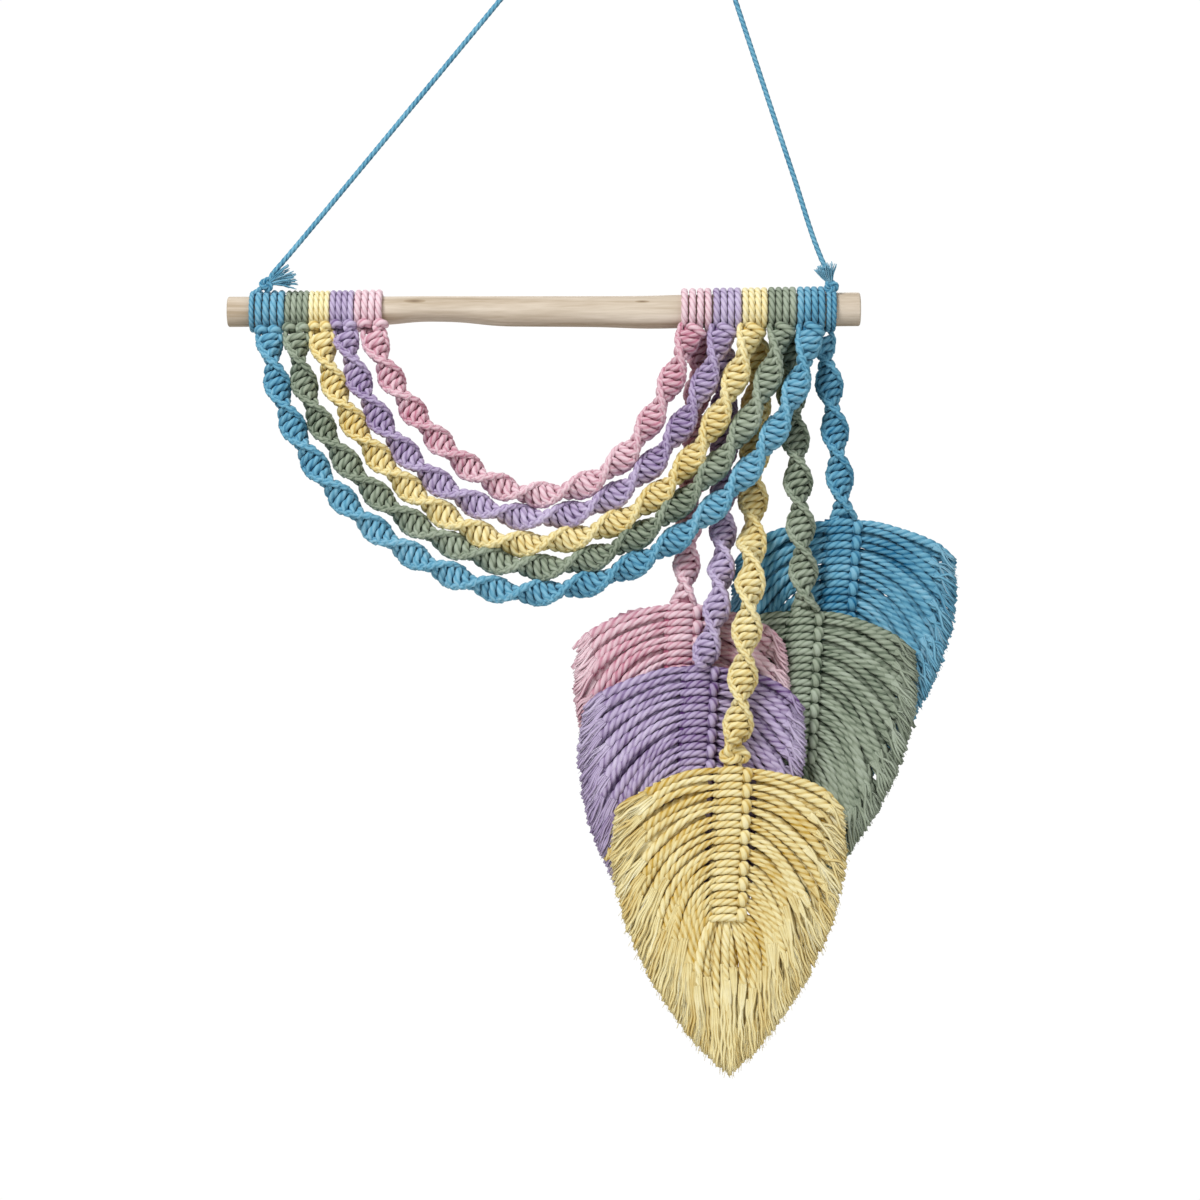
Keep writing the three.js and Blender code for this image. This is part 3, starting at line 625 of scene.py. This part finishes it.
# One pass of a working cord, from the middle of the front to that of the back: across and front
# are shares of the half width and half depth, and down is counted in knots.
KNOT_PASS = np.array([
    # across, front, down
    (0.00, 1.02, 0.00),
    (0.42, 1.00, -0.08),
    (0.72, 0.72, -0.20),
    (0.90, 0.05, -0.15),
    (1.02, -0.22, 0.22),
    (1.08, 0.05, 0.70),
    (1.08, 0.48, 1.15),
    (1.05, 0.62, 1.50),
    (1.12, 0.05, 1.70),
    (0.92, -0.62, 1.48),
    (0.48, -1.00, 1.10),
    (0.00, -1.02, 1.00),
])
COLOURS = {
    "pink": {"deep": (176, 96, 122), "middle": (221, 190, 199), "light": (250, 232, 239)},
    "purple": {"deep": (86, 50, 110), "middle": (182, 168, 199), "light": (222, 214, 235)},
    "yellow": {"deep": (182, 140, 8), "middle": (230, 216, 160), "light": (252, 248, 219)},
    "green": {"deep": (40, 60, 40), "middle": (149, 160, 141), "light": (191, 202, 188)},
    "blue": BLUE,
}
GARLAND_HEAD_Y = -7.6
GARLAND_Y = -11.2
GARLAND_SETTLES_IN = 16.0
GARLAND_STARTS = 3.5
GARLAND_STOPS_SHORT = 0.5
UNDER_WOOD = 0.4
HEAD_Y = -10.6
HEAD_RADIUS = 2.25
HEAD_TONES = (0.5, 0.56)
HEAD_DROP = 1.0
HEAD_TURNS_BACK = 2.6
HEAD_LOBE_WIDTH = 0.62
SLANT_RADIUS = 2.05
SLANT_WIDTH = 7.0
SLANT_DROP = 4.2
# Where the bow leaves the wood and its lowest point, how far its four handles reach inwards, down
# and along the level, its wraps, its lobes counted from the left, its left head, and the wraps' tone.
GARLAND_COLUMNS = (
    "colour", "left", "right", "low_x", "low_z", "left_in", "left_down", "level_left", "level_right",
    "right_in", "right_down", "wraps_left", "wraps_right", "first_lobe", "left_lobes", "left_pitch",
    "right_pitch", "head_rise", "head_width", "wrap_tone",
)
GARLANDS = [dict(zip(GARLAND_COLUMNS, row)) for row in (
    (
        "pink", -144.6, 14.5, -63.7, -341.3, -0.1, 27, 34, 44,
        15.5, 44, (-153.9, -140.0), (8.6, 24.4), 29.5, 5, 19.5, 23.1, 0.2, 16.0, 0.66,
    ),
    (
        "purple", -159.3, 29.8, -62.2, -352.7, 5.8, 45, 50, 58,
        5, 26, (-166.0, -154.2), (24.8, 39), 28.2, 5, 22.1, 24.4, 0.0, 13.4, 0.62,
    ),
    (
        "yellow", -170.8, 44, -71.4, -365.7, 6.1, 66, 27, 65,
        15, 60, (-176.5, -166.2), (39.4, 51.9), 31.3, 6, 21.3, 24.0, -0.6, 11.4, 0.68,
    ),
    (
        "green", -182.6, 58.7, -59.5, -377.3, -1.5, 67, 53, 49,
        6.5, 58, (-188.3, -176.7), (52.3, 66.3), 29.4, 7, 22.6, 25.8, -1.2, 13.4, 0.54,
    ),
    (
        "blue", -196.6, 73.2, -68, -390.1, 5.0, 92, 36, 64,
        5, 66, (-203.4, -188.5), (66.7, 80.6), 30, 8, 22.25, 24.45, -2.4, 13.0, 0.54,
    ),
)]


def bezier(points, t):
    """A cubic curve with four handles, which count by the four terms of ((1 - t) + t) cubed."""
    t = np.asarray(t)[..., None]
    a, b, c, d = points
    return a * (1 - t) ** 3 + 3 * b * t * (1 - t) ** 2 + 3 * c * t**2 * (1 - t) + d * t**3


def ease(x, width):
    """Rises softly from 0 to 1 as x goes from 0 to width."""
    share = np.clip(np.asarray(x) / width, 0, 1)
    return share * share * (3 - 2 * share)


def half_knots(line, turn_at, first, last, broad=1.0):
    """A band of half knots along a line of close points in millimetres, broad times as wide as
    the garlands. Each working cord follows KNOT_PASS to the back, then the same pass turned by
    half a turn to the front, and so on. The pass lies across the line, turned by
    turn_at(distance), from the distance first to last. A flat core lies inside, painted dark as
    shade."""
    at = distance_along(line)
    heading = unit(np.gradient(line, at, axis=0))
    knots = int(round((last - first) / KNOT_PITCH))
    pitch = (last - first) / knots
    size = np.array([KNOT_HALF_WIDTH * broad, KNOT_HALF_DEPTH, KNOT_PITCH])
    one = smooth_path(KNOT_PASS * size, np.arange(KNOT_STEPS) / KNOT_STEPS)
    number = np.arange(knots)[:, None]
    hand = np.where(number % 2 == 0, 1.0, -1.0)
    along = (first + (number * KNOT_PITCH + one[:, 2]) * pitch / KNOT_PITCH).ravel()
    along = np.minimum(along, last)

    def on_line(distance, across, front):
        """A point beside the line, the line's own point, and the way out of the band's face."""
        spot = np.stack([np.interp(distance, at, line[:, axis]) for axis in range(3)], -1)
        way = unit(np.stack([np.interp(distance, at, heading[:, axis]) for axis in range(3)], -1))
        side = unit(np.cross(FRONT, way))
        turn = turn_at(distance)[:, None]
        in_band = side * np.cos(turn) - np.cross(way, side) * np.sin(turn)
        off_band = np.cross(way, in_band)
        return spot + across[:, None] * in_band + front[:, None] * off_band, spot, off_band

    parts = []
    outer = np.clip((one[:, 0] / size[0]) ** 2, 0, 1)
    thick = np.tile(KNOT_RADIUS[1] - (KNOT_RADIUS[1] - KNOT_RADIUS[0]) * outer, knots)
    for sign in (1.0, -1.0):
        across = (sign * hand * one[:, 0]).ravel()
        front = (sign * hand * one[:, 1]).ravel()
        path, spot, _ = on_line(along, across, front)
        swell = KNOT_TONE_SWELL * np.sin(along / KNOT_TONE_LENGTH + 3 * sign)
        tone = 0.5 + swell + rng.normal(0, 0.03)
        parts.append(strands(
            path[None], unit(path - spot)[None], thick[None], YARN_LAY, KNOT_SIDES,
            tone=tone[None], flank_shade=KNOT_FLANK_PAINTED_SHADE,
        ))
    core_at = np.linspace(first + CORE_STARTS, last, knots)
    core, _, off_band = on_line(core_at, 0 * core_at, 0 * core_at)
    parts.append(strands(core[None], off_band[None], CORE_RADIUS, None, 8, CORE_FLAT, CORE_PAINTED_SHADE_TONE))
    return parts


def wraps(span, tone):
    """Rings of cord side by side round the dowel, evenly over the span, a little askew."""
    room_for_one = (span[1] - span[0]) / WRAPS
    places = span[0] + (np.arange(WRAPS) + 0.5) * room_for_one
    rings = np.array([
        loop_round(x, WRAP_RISE, rng.uniform(*WRAP_SLANT), WRAP_START, WRAP_STEPS) for x in places
    ])
    outward = off_the_wood(rings, dowel_at(places)[0].mean())
    radius = min(YARN_RADIUS, room_for_one / 2 + WRAP_PRESSED)
    tones = rng.uniform(tone - 0.06, tone + 0.06, WRAPS)
    return strands(
        rings, outward, radius, YARN_LAY, tone=tones, groove=WRAP_GROOVE, flank_shade=WRAP_FLANK_PAINTED_SHADE,
    )


def left_head(x, z, span):
    """The first knot under the left wraps, in front of their lower edge: two plump bends of cord
    side by side. Along each, height is a parabola of the place, and both ends turn back with the
    fourth power of it."""
    bend = np.linspace(-1, 1, 14)
    reach = span / 4
    y = HEAD_Y + HEAD_TURNS_BACK * bend**4
    height = z - HEAD_DROP * bend**2
    paths = [
        np.stack([x + hand * reach + HEAD_LOBE_WIDTH * reach * bend, y, height], -1) for hand in (-1, 1)
    ]
    radius = HEAD_RADIUS * (1 - 0.15 * bend**2)
    return strands(np.array(paths), FRONT, radius, YARN_LAY, tone=HEAD_TONES)


def right_head(x, z):
    """The first knot under the right wraps: one bend of cord that slants down to the right. Its
    height falls with the power 1.6 of the place, and both ends turn back with the fourth."""
    over = np.linspace(0, 1, 12)
    path = np.stack([
        x - 1.5 + SLANT_WIDTH * over,
        HEAD_Y - 0.9 + 3 * (2 * over - 1) ** 4,
        z - 0.3 - SLANT_DROP * over**1.6,
    ], -1)
    return strands(path[None], FRONT, SLANT_RADIUS, YARN_LAY)


materials = {
    colour: blue_cotton if colour == "blue" else cotton(colour + "_cotton", COLOURS[colour])
    for colour in COLOURS
}
for row in GARLANDS:
    left_z, left_half = dowel_at(row["left"])
    right_z, right_half = dowel_at(row["right"])
    left_top = left_z - left_half + UNDER_WOOD
    right_top = right_z - right_half + UNDER_WOOD
    low = (row["low_x"], 0, row["low_z"])
    first_half = np.array([
        (row["left"], 0, left_top),
        (row["left"] + row["left_in"], 0, left_top - row["left_down"]),
        (row["low_x"] - row["level_left"], 0, row["low_z"]),
        low,
    ])
    second_half = np.array([
        low,
        (row["low_x"] + row["level_right"], 0, row["low_z"]),
        (row["right"] - row["right_in"], 0, right_top - row["right_down"]),
        (row["right"], 0, right_top),
    ])
    t = np.linspace(0, 1, 300)
    line = np.concatenate([bezier(first_half, t), bezier(second_half, t)[1:]])
    at = distance_along(line)
    length = at[-1]
    settled = ease(np.minimum(at, length - at), GARLAND_SETTLES_IN)
    line[:, 1] = GARLAND_HEAD_Y + (GARLAND_Y - GARLAND_HEAD_Y) * settled
    midway = row["first_lobe"] + row["left_lobes"] * row["left_pitch"]
    right_lobes = math.floor((length - midway) / row["right_pitch"])

    def turn_at(distance):
        """Half a turn from one broad face to the next, and none past the first and last ones."""
        pitch = np.where(distance < midway, row["left_pitch"], row["right_pitch"])
        return np.pi * np.clip((distance - midway) / pitch, -row["left_lobes"] - 1, right_lobes)

    parts = half_knots(line, turn_at, GARLAND_STARTS, length - GARLAND_STOPS_SHORT)
    parts.append(wraps(row["wraps_left"], row["wrap_tone"]))
    parts.append(wraps(row["wraps_right"], row["wrap_tone"]))
    parts.append(left_head(row["left"], left_top + row["head_rise"], row["head_width"]))
    parts.append(right_head(row["right"], right_top))
    name = row["colour"] + "_garland"
    fitted(knotted(name + "_knotted", parts), materials[row["colour"]], "cord_" + row["colour"], name)


# The tails: the same spiral band goes on from behind the right-hand wraps, hangs straight down
# behind the bows, then comes forward over the leaves that lie deeper, to the top of its own leaf.
TAIL_HEAD_Y = 5.0
TAIL_Y = 4.3
TAIL_SETTLES_IN = 12.0
TAIL_CROSSES_IN = 52.0
TAIL_JOINS_IN = 14.0
TAIL_STARTS_BELOW_WOOD = 3.2
TAIL_STARTS = 0.5
END_KNOT_LENGTH = 14.0
END_KNOT_SIZE = 3.7
END_KNOT_STRETCH = (1.18, 1.0, 0.76)
END_KNOT_CORD_RADIUS = 1.9
# Where a tail starts and how it drifts to its leaf, its first lobe and their pitch, the depth of its
# way over the leaves behind and where that starts, its depth at the end, its knot and its breadth.
TAIL_COLUMNS = (
    "colour", "x", "drift", "first_lobe", "lobe_pitch", "over_y", "over_from", "end_y", "end_knot", "broad",
)
TAILS = [dict(zip(TAIL_COLUMNS, row)) for row in (
    ("pink", 18, 1.5, 7.5, 21.6, -2.8, -350, -2.8, False, 1.03),
    ("purple", 30.7, 5.5, 15.5, 20.8, -12.4, -352, -11.6, False, 1.04),
    ("yellow", 47, 2, 12.3, 23.5, -17.9, -346, -15.2, True, 1.18),
    ("green", 61.5, 0.8, 8.2, 22.25, -1.9, -290, 1, False, 1.14),
    ("blue", 78.5, 0.72, 26.2, 23.2, 5.5, -290, 7, False, 1.06),
)]
# The top of a leaf, its half widths and length, how far its tip and its stem lean, how far its cords
# stay corded, how much earlier the lowest are brushed open and over which stretch, where those
# behind start, and the bars' tone.
LEAF_COLUMNS = (
    "colour", "x", "top", "y", "left", "right", "length", "lean", "stem_lean", "corded", "brushed", "opens",
    "holes", "bar_tone",
)
LEAVES = [dict(zip(LEAF_COLUMNS, row)) for row in (
    ("pink", 10.1, -395.4, -2.8, 55.4, 53.2, 152, 1, -2, 0.96, 0.1, 0.2, 0.0, 0.52),
    ("purple", 18.5, -426.2, -8.2, 59.4, 54.6, 154, -7.5, -7, 0.96, 0.1, 0.2, 0.0, 0.45),
    ("yellow", 34.5, -476.2, -15.2, 60.5, 57.2, 153.5, -1.8, -6.4, 0.9, 0.38, 0.16, 0.09, 0.52),
    ("green", 71.2, -398.8, 2.6, 53, 58, 150, -4.5, -8, 0.96, 0.1, 0.2, 0.0, 0.56),
    ("blue", 90.9, -353, 8, 55, 59.5, 150, -8, -11, 0.96, 0.1, 0.2, 0.0, 0.42),
)]


def end_knot(foot):
    """The small knot at the end of a tail: two strands go straight down through it to the foot,
    and an overhand knot of a third lies round them, broader than it is high."""
    tops = foot + [(hand * 2.6, 1.0, END_KNOT_LENGTH + 1) for hand in (-1, 1)]
    feet = foot + [(hand * 3.0, 1.0, -2.0) for hand in (-1, 1)]
    through = tops[:, None] + np.linspace(0, 1, 10)[None, :, None] * (feet - tops)[:, None]
    middle = foot + (0.7, -0.6, 0.5 * END_KNOT_LENGTH - 0.6)
    return [
        strands(through, FRONT, YARN_RADIUS, YARN_LAY, CORD_SIDES, tone=(0.4, 0.45)),
        overhand(
            middle, END_KNOT_SIZE, 90.0, END_KNOT_CORD_RADIUS, YARN_LAY, PLY_SIDES, END_KNOT_STRETCH
        ),
    ]


for row in TAILS:
    leaf = next(one for one in LEAVES if one["colour"] == row["colour"])
    wood_z, wood_half = dowel_at(row["x"])
    top = wood_z - wood_half - TAIL_STARTS_BELOW_WOOD
    length = top - leaf["top"]
    down = np.linspace(0, length, 400)
    z = top - down
    x = row["x"] + (leaf["x"] - row["x"]) * (down / length) ** row["drift"]
    settled = TAIL_HEAD_Y + (TAIL_Y - TAIL_HEAD_Y) * ease(down, TAIL_SETTLES_IN)
    over = ease(row["over_from"] - z, TAIL_CROSSES_IN)
    joins = ease(leaf["top"] + TAIL_JOINS_IN - z, TAIL_JOINS_IN)
    y = settled + (row["over_y"] - settled) * over
    y = y + (row["end_y"] - y) * joins
    line = np.stack([x, y, z], -1)

    def turn_at(distance):
        """Half a turn from one broad face to the next."""
        return np.pi * (distance - row["first_lobe"]) / row["lobe_pitch"]

    knotted_to = distance_along(line)[-1] - (END_KNOT_LENGTH if row["end_knot"] else 0.5)
    parts = half_knots(line, turn_at, TAIL_STARTS, knotted_to, row["broad"])
    if row["end_knot"]:
        parts += end_knot(line[-1])
    name = row["colour"] + "_tail"
    fitted(knotted(name + "_knotted", parts), materials[row["colour"]], "cord_" + row["colour"], name)


# The leaves: a stem of knotted bars, two for each knot, with a bead of cord at its right edge.
# Both ends of each bar go on as strands that arch outwards and down, and their cut ends are
# brushed out into crimped locks and trimmed to the outline of a leaf.
STEM_LENGTH = 77.0
STEM_BARS = 20
BAR_PITCH = STEM_LENGTH / STEM_BARS
BAR_LEFTS = (-6.6, -8.4)
BAR_RIGHT = 5.0
BAR_FRONT = 2.3
BAR_TURNS_BACK = 2.2
BAR_CROWN = 0.8
BAR_SLOPE = 0.3
BAR_RADIUS = 1.98
BAR_UNEVEN = 0.09
BEAD_X = 6.6
BEAD_FRONT = 2.6
BEAD_TURNS_BACK = 2.4
BEAD_HALF_HEIGHT = 2.5
BEAD_RADIUS = 2.0
BEAD_FLAT = 1.35
BEAD_PALER = 0.04
# The flat core behind the stem bars, painted dark as shade in the gaps between them.
STEM_CORE_RADIUS = 1.4
STEM_CORE_FLAT = 6.8
STEM_CORE_FLAT_BY_HOLES = 4.6
STEM_CORE_PAINTED_SHADE_TONE = 0.15
STRANDS = 25
STRANDS_BESIDE_STEM = 20
STRAND_ROOT_OUT = 6.2
STRAND_DEPTH = 1.45
STRAND_PULL = 0.38
STRAND_SWAY = 0.95
STRAND_DEPTH_SWAY = 0.35
STRAND_LAY = 15.0
STRAND_GROOVE = 0.3
STRAND_TONE_UNEVEN = 0.07
STRAND_LANDS_UNEVEN = 0.16
STRAND_ROOT_SINKS = 0.8
STRAND_THINNEST = 0.15
BELOW_STEM_SINKS = 1.3
# The two layers of strands. Those behind lie in the gaps between those in front.
FRONT_LAYER = {
    "number": np.arange(STRANDS, dtype=float), "depth": -1.15, "flat": 1.0, "steps": 42, "sides": 9,
    "locks": 5, "lock_flat": 1.7, "fibres": 12,
}
BACK_LAYER = {
    "number": np.append(np.arange(STRANDS - 1) + 0.5, STRANDS - 0.6), "depth": 1.35, "flat": 1.35,
    "steps": 26, "sides": 6, "locks": 5, "lock_flat": 2.8, "fibres": 2,
}
# What the end of a strand comes apart into. Steps, and the shares of the way where it may stop,
# have two values: on a leaf that is combed lightly, and on one that is brushed far up.
LOCK = {
    "radius": 0.5, "crimp": 0.4, "sides": 4, "steps": (7, 15), "stops": ((0.975, 1.0), (0.975, 1.0)),
    "paler": 0.0,
}
FIBRE = {
    "radius": 0.19, "crimp": 0.5, "sides": 3, "steps": (6, 13), "stops": ((0.93, 1.012), (0.91, 1.03)),
    "paler": 0.1,
}
BRUSHED_FAR_UP = 0.3
LOOSE_HALF_WIDTH = 1.5
LOOSE_LANDS_WITHIN = 0.55
LOOSE_RAGGED = 0.006
LOOSE_LIFT = 1.3
# Where the strands end, from the shoulder to the tip: shares of the half width and the length.
LEAF_EDGE = np.array([
    (0.97, 0.14), (1.0, 0.29), (0.92, 0.46), (0.735, 0.64), (0.48, 0.8), (0.21, 0.93), (0.0, 1.0),
])
# How far below level the strands point at their roots and ends, from the shoulder to the tip.
ROOT_ANGLES = (1.0, 13.0, 23.0, 38.0, 91.0)
END_ANGLES = (38.0, 60.0, 68.0, 76.0, 88.0)


def strand_handles(leaf, hand, number, ends_at, ragged):
    """The four handles of each strand of one side: from the stem, out along its root angle, back
    from the leaf's edge along its end angle, and on the edge, at the place of number ends_at. The
    front strands, with whole numbers, leave the stem in pairs, and those behind evenly."""
    share = ends_at / (STRANDS - 1)
    below = np.clip(number - STRANDS_BESIDE_STEM + 0.5, 0, None)
    half = leaf["left"] if hand < 0 else leaf["right"]
    edge = smooth_path(LEAF_EDGE, np.clip(share, 0, 1))
    reach = 1 - np.abs(rng.normal(0, ragged, len(number)))
    out, down = edge[:, 0] * reach, edge[:, 1] * (0.5 + 0.5 * reach)
    in_pairs = (np.floor(number / 2) * 2 + 0.85) * BAR_PITCH
    in_pairs = in_pairs + np.where(number % 2 == 0, -0.4, 0.4) * BAR_PITCH
    evenly = (number + 0.5) * BAR_PITCH
    is_in_front = number % 1 == 0
    root_down = np.minimum(np.where(is_in_front, in_pairs, evenly), STEM_LENGTH - 2)
    steps = np.linspace(0, 1, len(ROOT_ANGLES))
    root_angle = np.radians(np.interp(share, steps, ROOT_ANGLES))
    end_angle = np.radians(np.interp(share, steps, END_ANGLES))

    def on_leaf(across, depth, lean):
        """Points at a distance from a line that leans as the stem or the tip does, and at a depth."""
        x = leaf["x"] + hand * across + leaf[lean] / leaf["length"] * depth
        return np.stack([x, 0 * across, leaf["top"] - depth], -1)

    root = on_leaf(STRAND_ROOT_OUT - 1.5 * below, root_down, "stem_lean")
    end = on_leaf(out * half, down * leaf["length"], "lean")
    pull = STRAND_PULL * np.linalg.norm(end - root, axis=-1, keepdims=True)
    root_way = np.stack([hand * np.cos(root_angle), 0 * root_angle, -np.sin(root_angle)], -1)
    end_way = np.stack([hand * np.cos(end_angle), 0 * end_angle, -np.sin(end_angle)], -1)
    return np.stack([root, root + pull * root_way, end - pull * end_way, end])[:, :, None]


def on_strand(handles, t, sway, depth):
    """Points at t of the strands' curves, moved sideways by a slow sine that starts from nothing
    at the root, and in depth by a small quicker one. Gives the way across each strand too."""
    spot = bezier(handles, t)
    side = np.cross(FRONT, unit(np.gradient(spot, axis=1)))
    spot = spot + side * (STRAND_SWAY * np.sin(5 * t + sway) * np.minimum(1, 3 * t))[..., None]
    spot[..., 1] = depth + STRAND_DEPTH_SWAY * np.sin(7 * t + 2 * sway)
    return spot, side


def come_apart(leaf, hand, layer, laid, kind, each, flat):
    """So many locks or fibres of a kind for each strand laid. One leaves the strand where it
    opens, and heads for its own place on the leaf's edge, between the strand's neighbours. Its
    crimp is a sine once for each lay, as its ply lay in the twist."""
    brushed = int(leaf["brushed"] > BRUSHED_FAR_UP)
    count = len(laid["number"])
    total = count * each
    pick = np.repeat(np.arange(count), each)
    across = (np.tile(np.linspace(-1, 1, each), count) + rng.normal(0, 0.12, total))[:, None]
    stop = rng.uniform(*kind["stops"][brushed], (total, 1))
    start = laid["ends"][pick] - leaf["opens"]
    step = np.linspace(0, 1, kind["steps"][brushed])
    t = start + (stop - start) * step
    lands = laid["lands"][pick] + LOOSE_LANDS_WITHIN * across[:, 0]
    goal = strand_handles(leaf, hand, laid["number"][pick], lands, LOOSE_RAGGED)
    opened = ease(step + 0 * start, 0.75)[..., None]
    sway = laid["sway"][pick] + rng.normal(0, 0.8, (total, 1)) * ease(step, 1.0)
    spot, side = on_strand(laid["handles"][:, pick], t, sway, leaf["y"] + layer["depth"])
    length = np.linalg.norm(laid["handles"][3] - laid["handles"][0], axis=-1)[pick]
    ply = rng.integers(0, 3, (total, 1)) * 2 * np.pi / 3
    crimp = kind["crimp"] * np.sin(2 * np.pi * t * length / YARN_LAY + ply)[..., None] * opened
    path = spot + (bezier(goal, t) - spot) * (1, 0, 1) * opened
    path += side * (across[..., None] * LOOSE_HALF_WIDTH * (1 - opened) + crimp)
    lift = rng.uniform(-LOOSE_LIFT, 0.3, (total, 1, 1))
    path[..., 1:2] += lift * opened - LOOSE_LIFT * (1 - opened)
    taper = kind["radius"] * ease(step + 0.3, 0.6) * (1 - 0.4 * step**6)
    tone = laid["tone"][pick] + rng.normal(kind["paler"], 0.05 + kind["paler"], total)
    return strands(path, FRONT, taper, None, kind["sides"], flat, np.clip(tone, 0.25, 0.95), 1.0)


def leaf_layer(leaf, hand, layer):
    """One layer of strands on one side. A strand is a plied tube that grows wider towards its
    end. It thins out where it opens, and its locks and fibres go on from there."""
    number = layer["number"]
    count = len(number)
    in_front = layer["depth"] < 0
    lands = number + rng.normal(0, STRAND_LANDS_UNEVEN, count)
    handles = strand_handles(leaf, hand, number, lands, 0.0)
    share = number[:, None] / (STRANDS - 1)
    sway = rng.uniform(0, 2 * np.pi, (count, 1))
    tone = np.clip(rng.normal(0.5, STRAND_TONE_UNEVEN, count), 0.32, 0.64)
    uneven = rng.normal(0, 0.2 * leaf["brushed"] + 0.015, (count, 1))
    ends = leaf["corded"] - leaf["brushed"] * share**1.2 + uneven
    first = 0.0 if in_front else leaf["holes"]
    t = first + (ends - first) * np.linspace(0, 1, layer["steps"])
    path, _ = on_strand(handles, t, sway, leaf["y"] + layer["depth"])
    settled = ease(t - first, 0.12)
    path[..., 1] += STRAND_ROOT_SINKS * (1 - settled)
    thins = STRAND_THINNEST + (1 - STRAND_THINNEST) * ease(ends - t + 0.01, leaf["opens"])
    thick = STRAND_DEPTH * (0.85 + 0.15 * settled) * thins
    wide = (1.0 + 0.15 * settled + 0.6 * ease(t, 0.8)) / thins**0.35 * layer["flat"]
    if in_front:
        # Below the stem every other strand lies further back.
        path[..., 1] += BELOW_STEM_SINKS * ((number > STRANDS_BESIDE_STEM) * number % 2)[:, None]
    else:
        # The first three behind are broader, which closes the shoulder.
        wide = wide * (1 + 0.3 * (number < 3))[:, None]
    lay = STRAND_LAY * rng.uniform(0.82, 1.2, (count, 1))
    laid = {"number": number, "lands": lands, "handles": handles, "ends": ends, "sway": sway, "tone": tone}
    return [
        strands(path, FRONT, thick, lay, layer["sides"], wide, tone, groove=STRAND_GROOVE),
        come_apart(leaf, hand, layer, laid, LOCK, layer["locks"], layer["lock_flat"]),
        come_apart(leaf, hand, layer, laid, FIBRE, layer["fibres"], 1.0),
    ]


def stem(leaf):
    """The bars of the stem and its beads, in front and behind, round a flat core painted dark as
    shade. Along a bar, height is a parabola of the place, and its ends turn inwards. A bead is a
    short upright bend, broader than a bar's cord."""
    lean = leaf["stem_lean"] / leaf["length"]
    bar_down = (np.arange(STEM_BARS)[:, None] + 0.5) * BAR_PITCH
    bead_down = bar_down.reshape(-1, 2).mean(1)[:, None]
    left = np.resize(BAR_LEFTS, STEM_BARS)[:, None]
    u = np.linspace(-1, 1, 11)[None]
    bend = np.linspace(-1, 1, 9)[None]
    parts = []
    for front in (1, -1):
        across = (left + BAR_RIGHT) / 2 + (BAR_RIGHT - left) / 2 * u
        x = leaf["x"] + lean * bar_down + front * across
        y = leaf["y"] - front * (BAR_FRONT - BAR_TURNS_BACK * np.abs(u) ** 5)
        z = leaf["top"] - bar_down + BAR_CROWN * (1 - u**2) + BAR_SLOPE * u
        bars = np.stack(np.broadcast_arrays(x, y, z), -1)
        tone = rng.uniform(-BAR_UNEVEN, BAR_UNEVEN, STEM_BARS) + leaf["bar_tone"]
        parts.append(strands(bars, FRONT, BAR_RADIUS - 0.25 * np.abs(u) ** 3, YARN_LAY, tone=tone))
        across = BEAD_X + 0.5 * (1 - bend**2) - 0.5 * bend
        x = leaf["x"] + lean * bead_down + front * across
        y = leaf["y"] - front * (BEAD_FRONT - BEAD_TURNS_BACK * bend**4)
        z = leaf["top"] - bead_down - BEAD_HALF_HEIGHT * bend
        beads = np.stack(np.broadcast_arrays(x, y, z), -1)
        parts.append(strands(
            beads, FRONT, BEAD_RADIUS - 0.4 * bend**4, YARN_LAY, flat=BEAD_FLAT, tone=tone[::2] + BEAD_PALER
        ))
    down = np.linspace(0.5, STEM_LENGTH - 0.5, 12)
    core = np.stack([leaf["x"] + lean * down, leaf["y"] + 0 * down, leaf["top"] - down], -1)
    core_flat = STEM_CORE_FLAT_BY_HOLES if leaf["holes"] else STEM_CORE_FLAT
    parts.append(strands(core[None], FRONT, STEM_CORE_RADIUS, None, 8, core_flat, STEM_CORE_PAINTED_SHADE_TONE))
    return parts


for leaf in LEAVES:
    parts = stem(leaf)
    for hand in (-1, 1):
        parts += leaf_layer(leaf, hand, FRONT_LAYER)
        parts += leaf_layer(leaf, hand, BACK_LAYER)
    name = leaf["colour"] + "_leaf"
    fitted(knotted(name + "_knotted", parts), materials[leaf["colour"]], "cord_" + leaf["colour"], name)
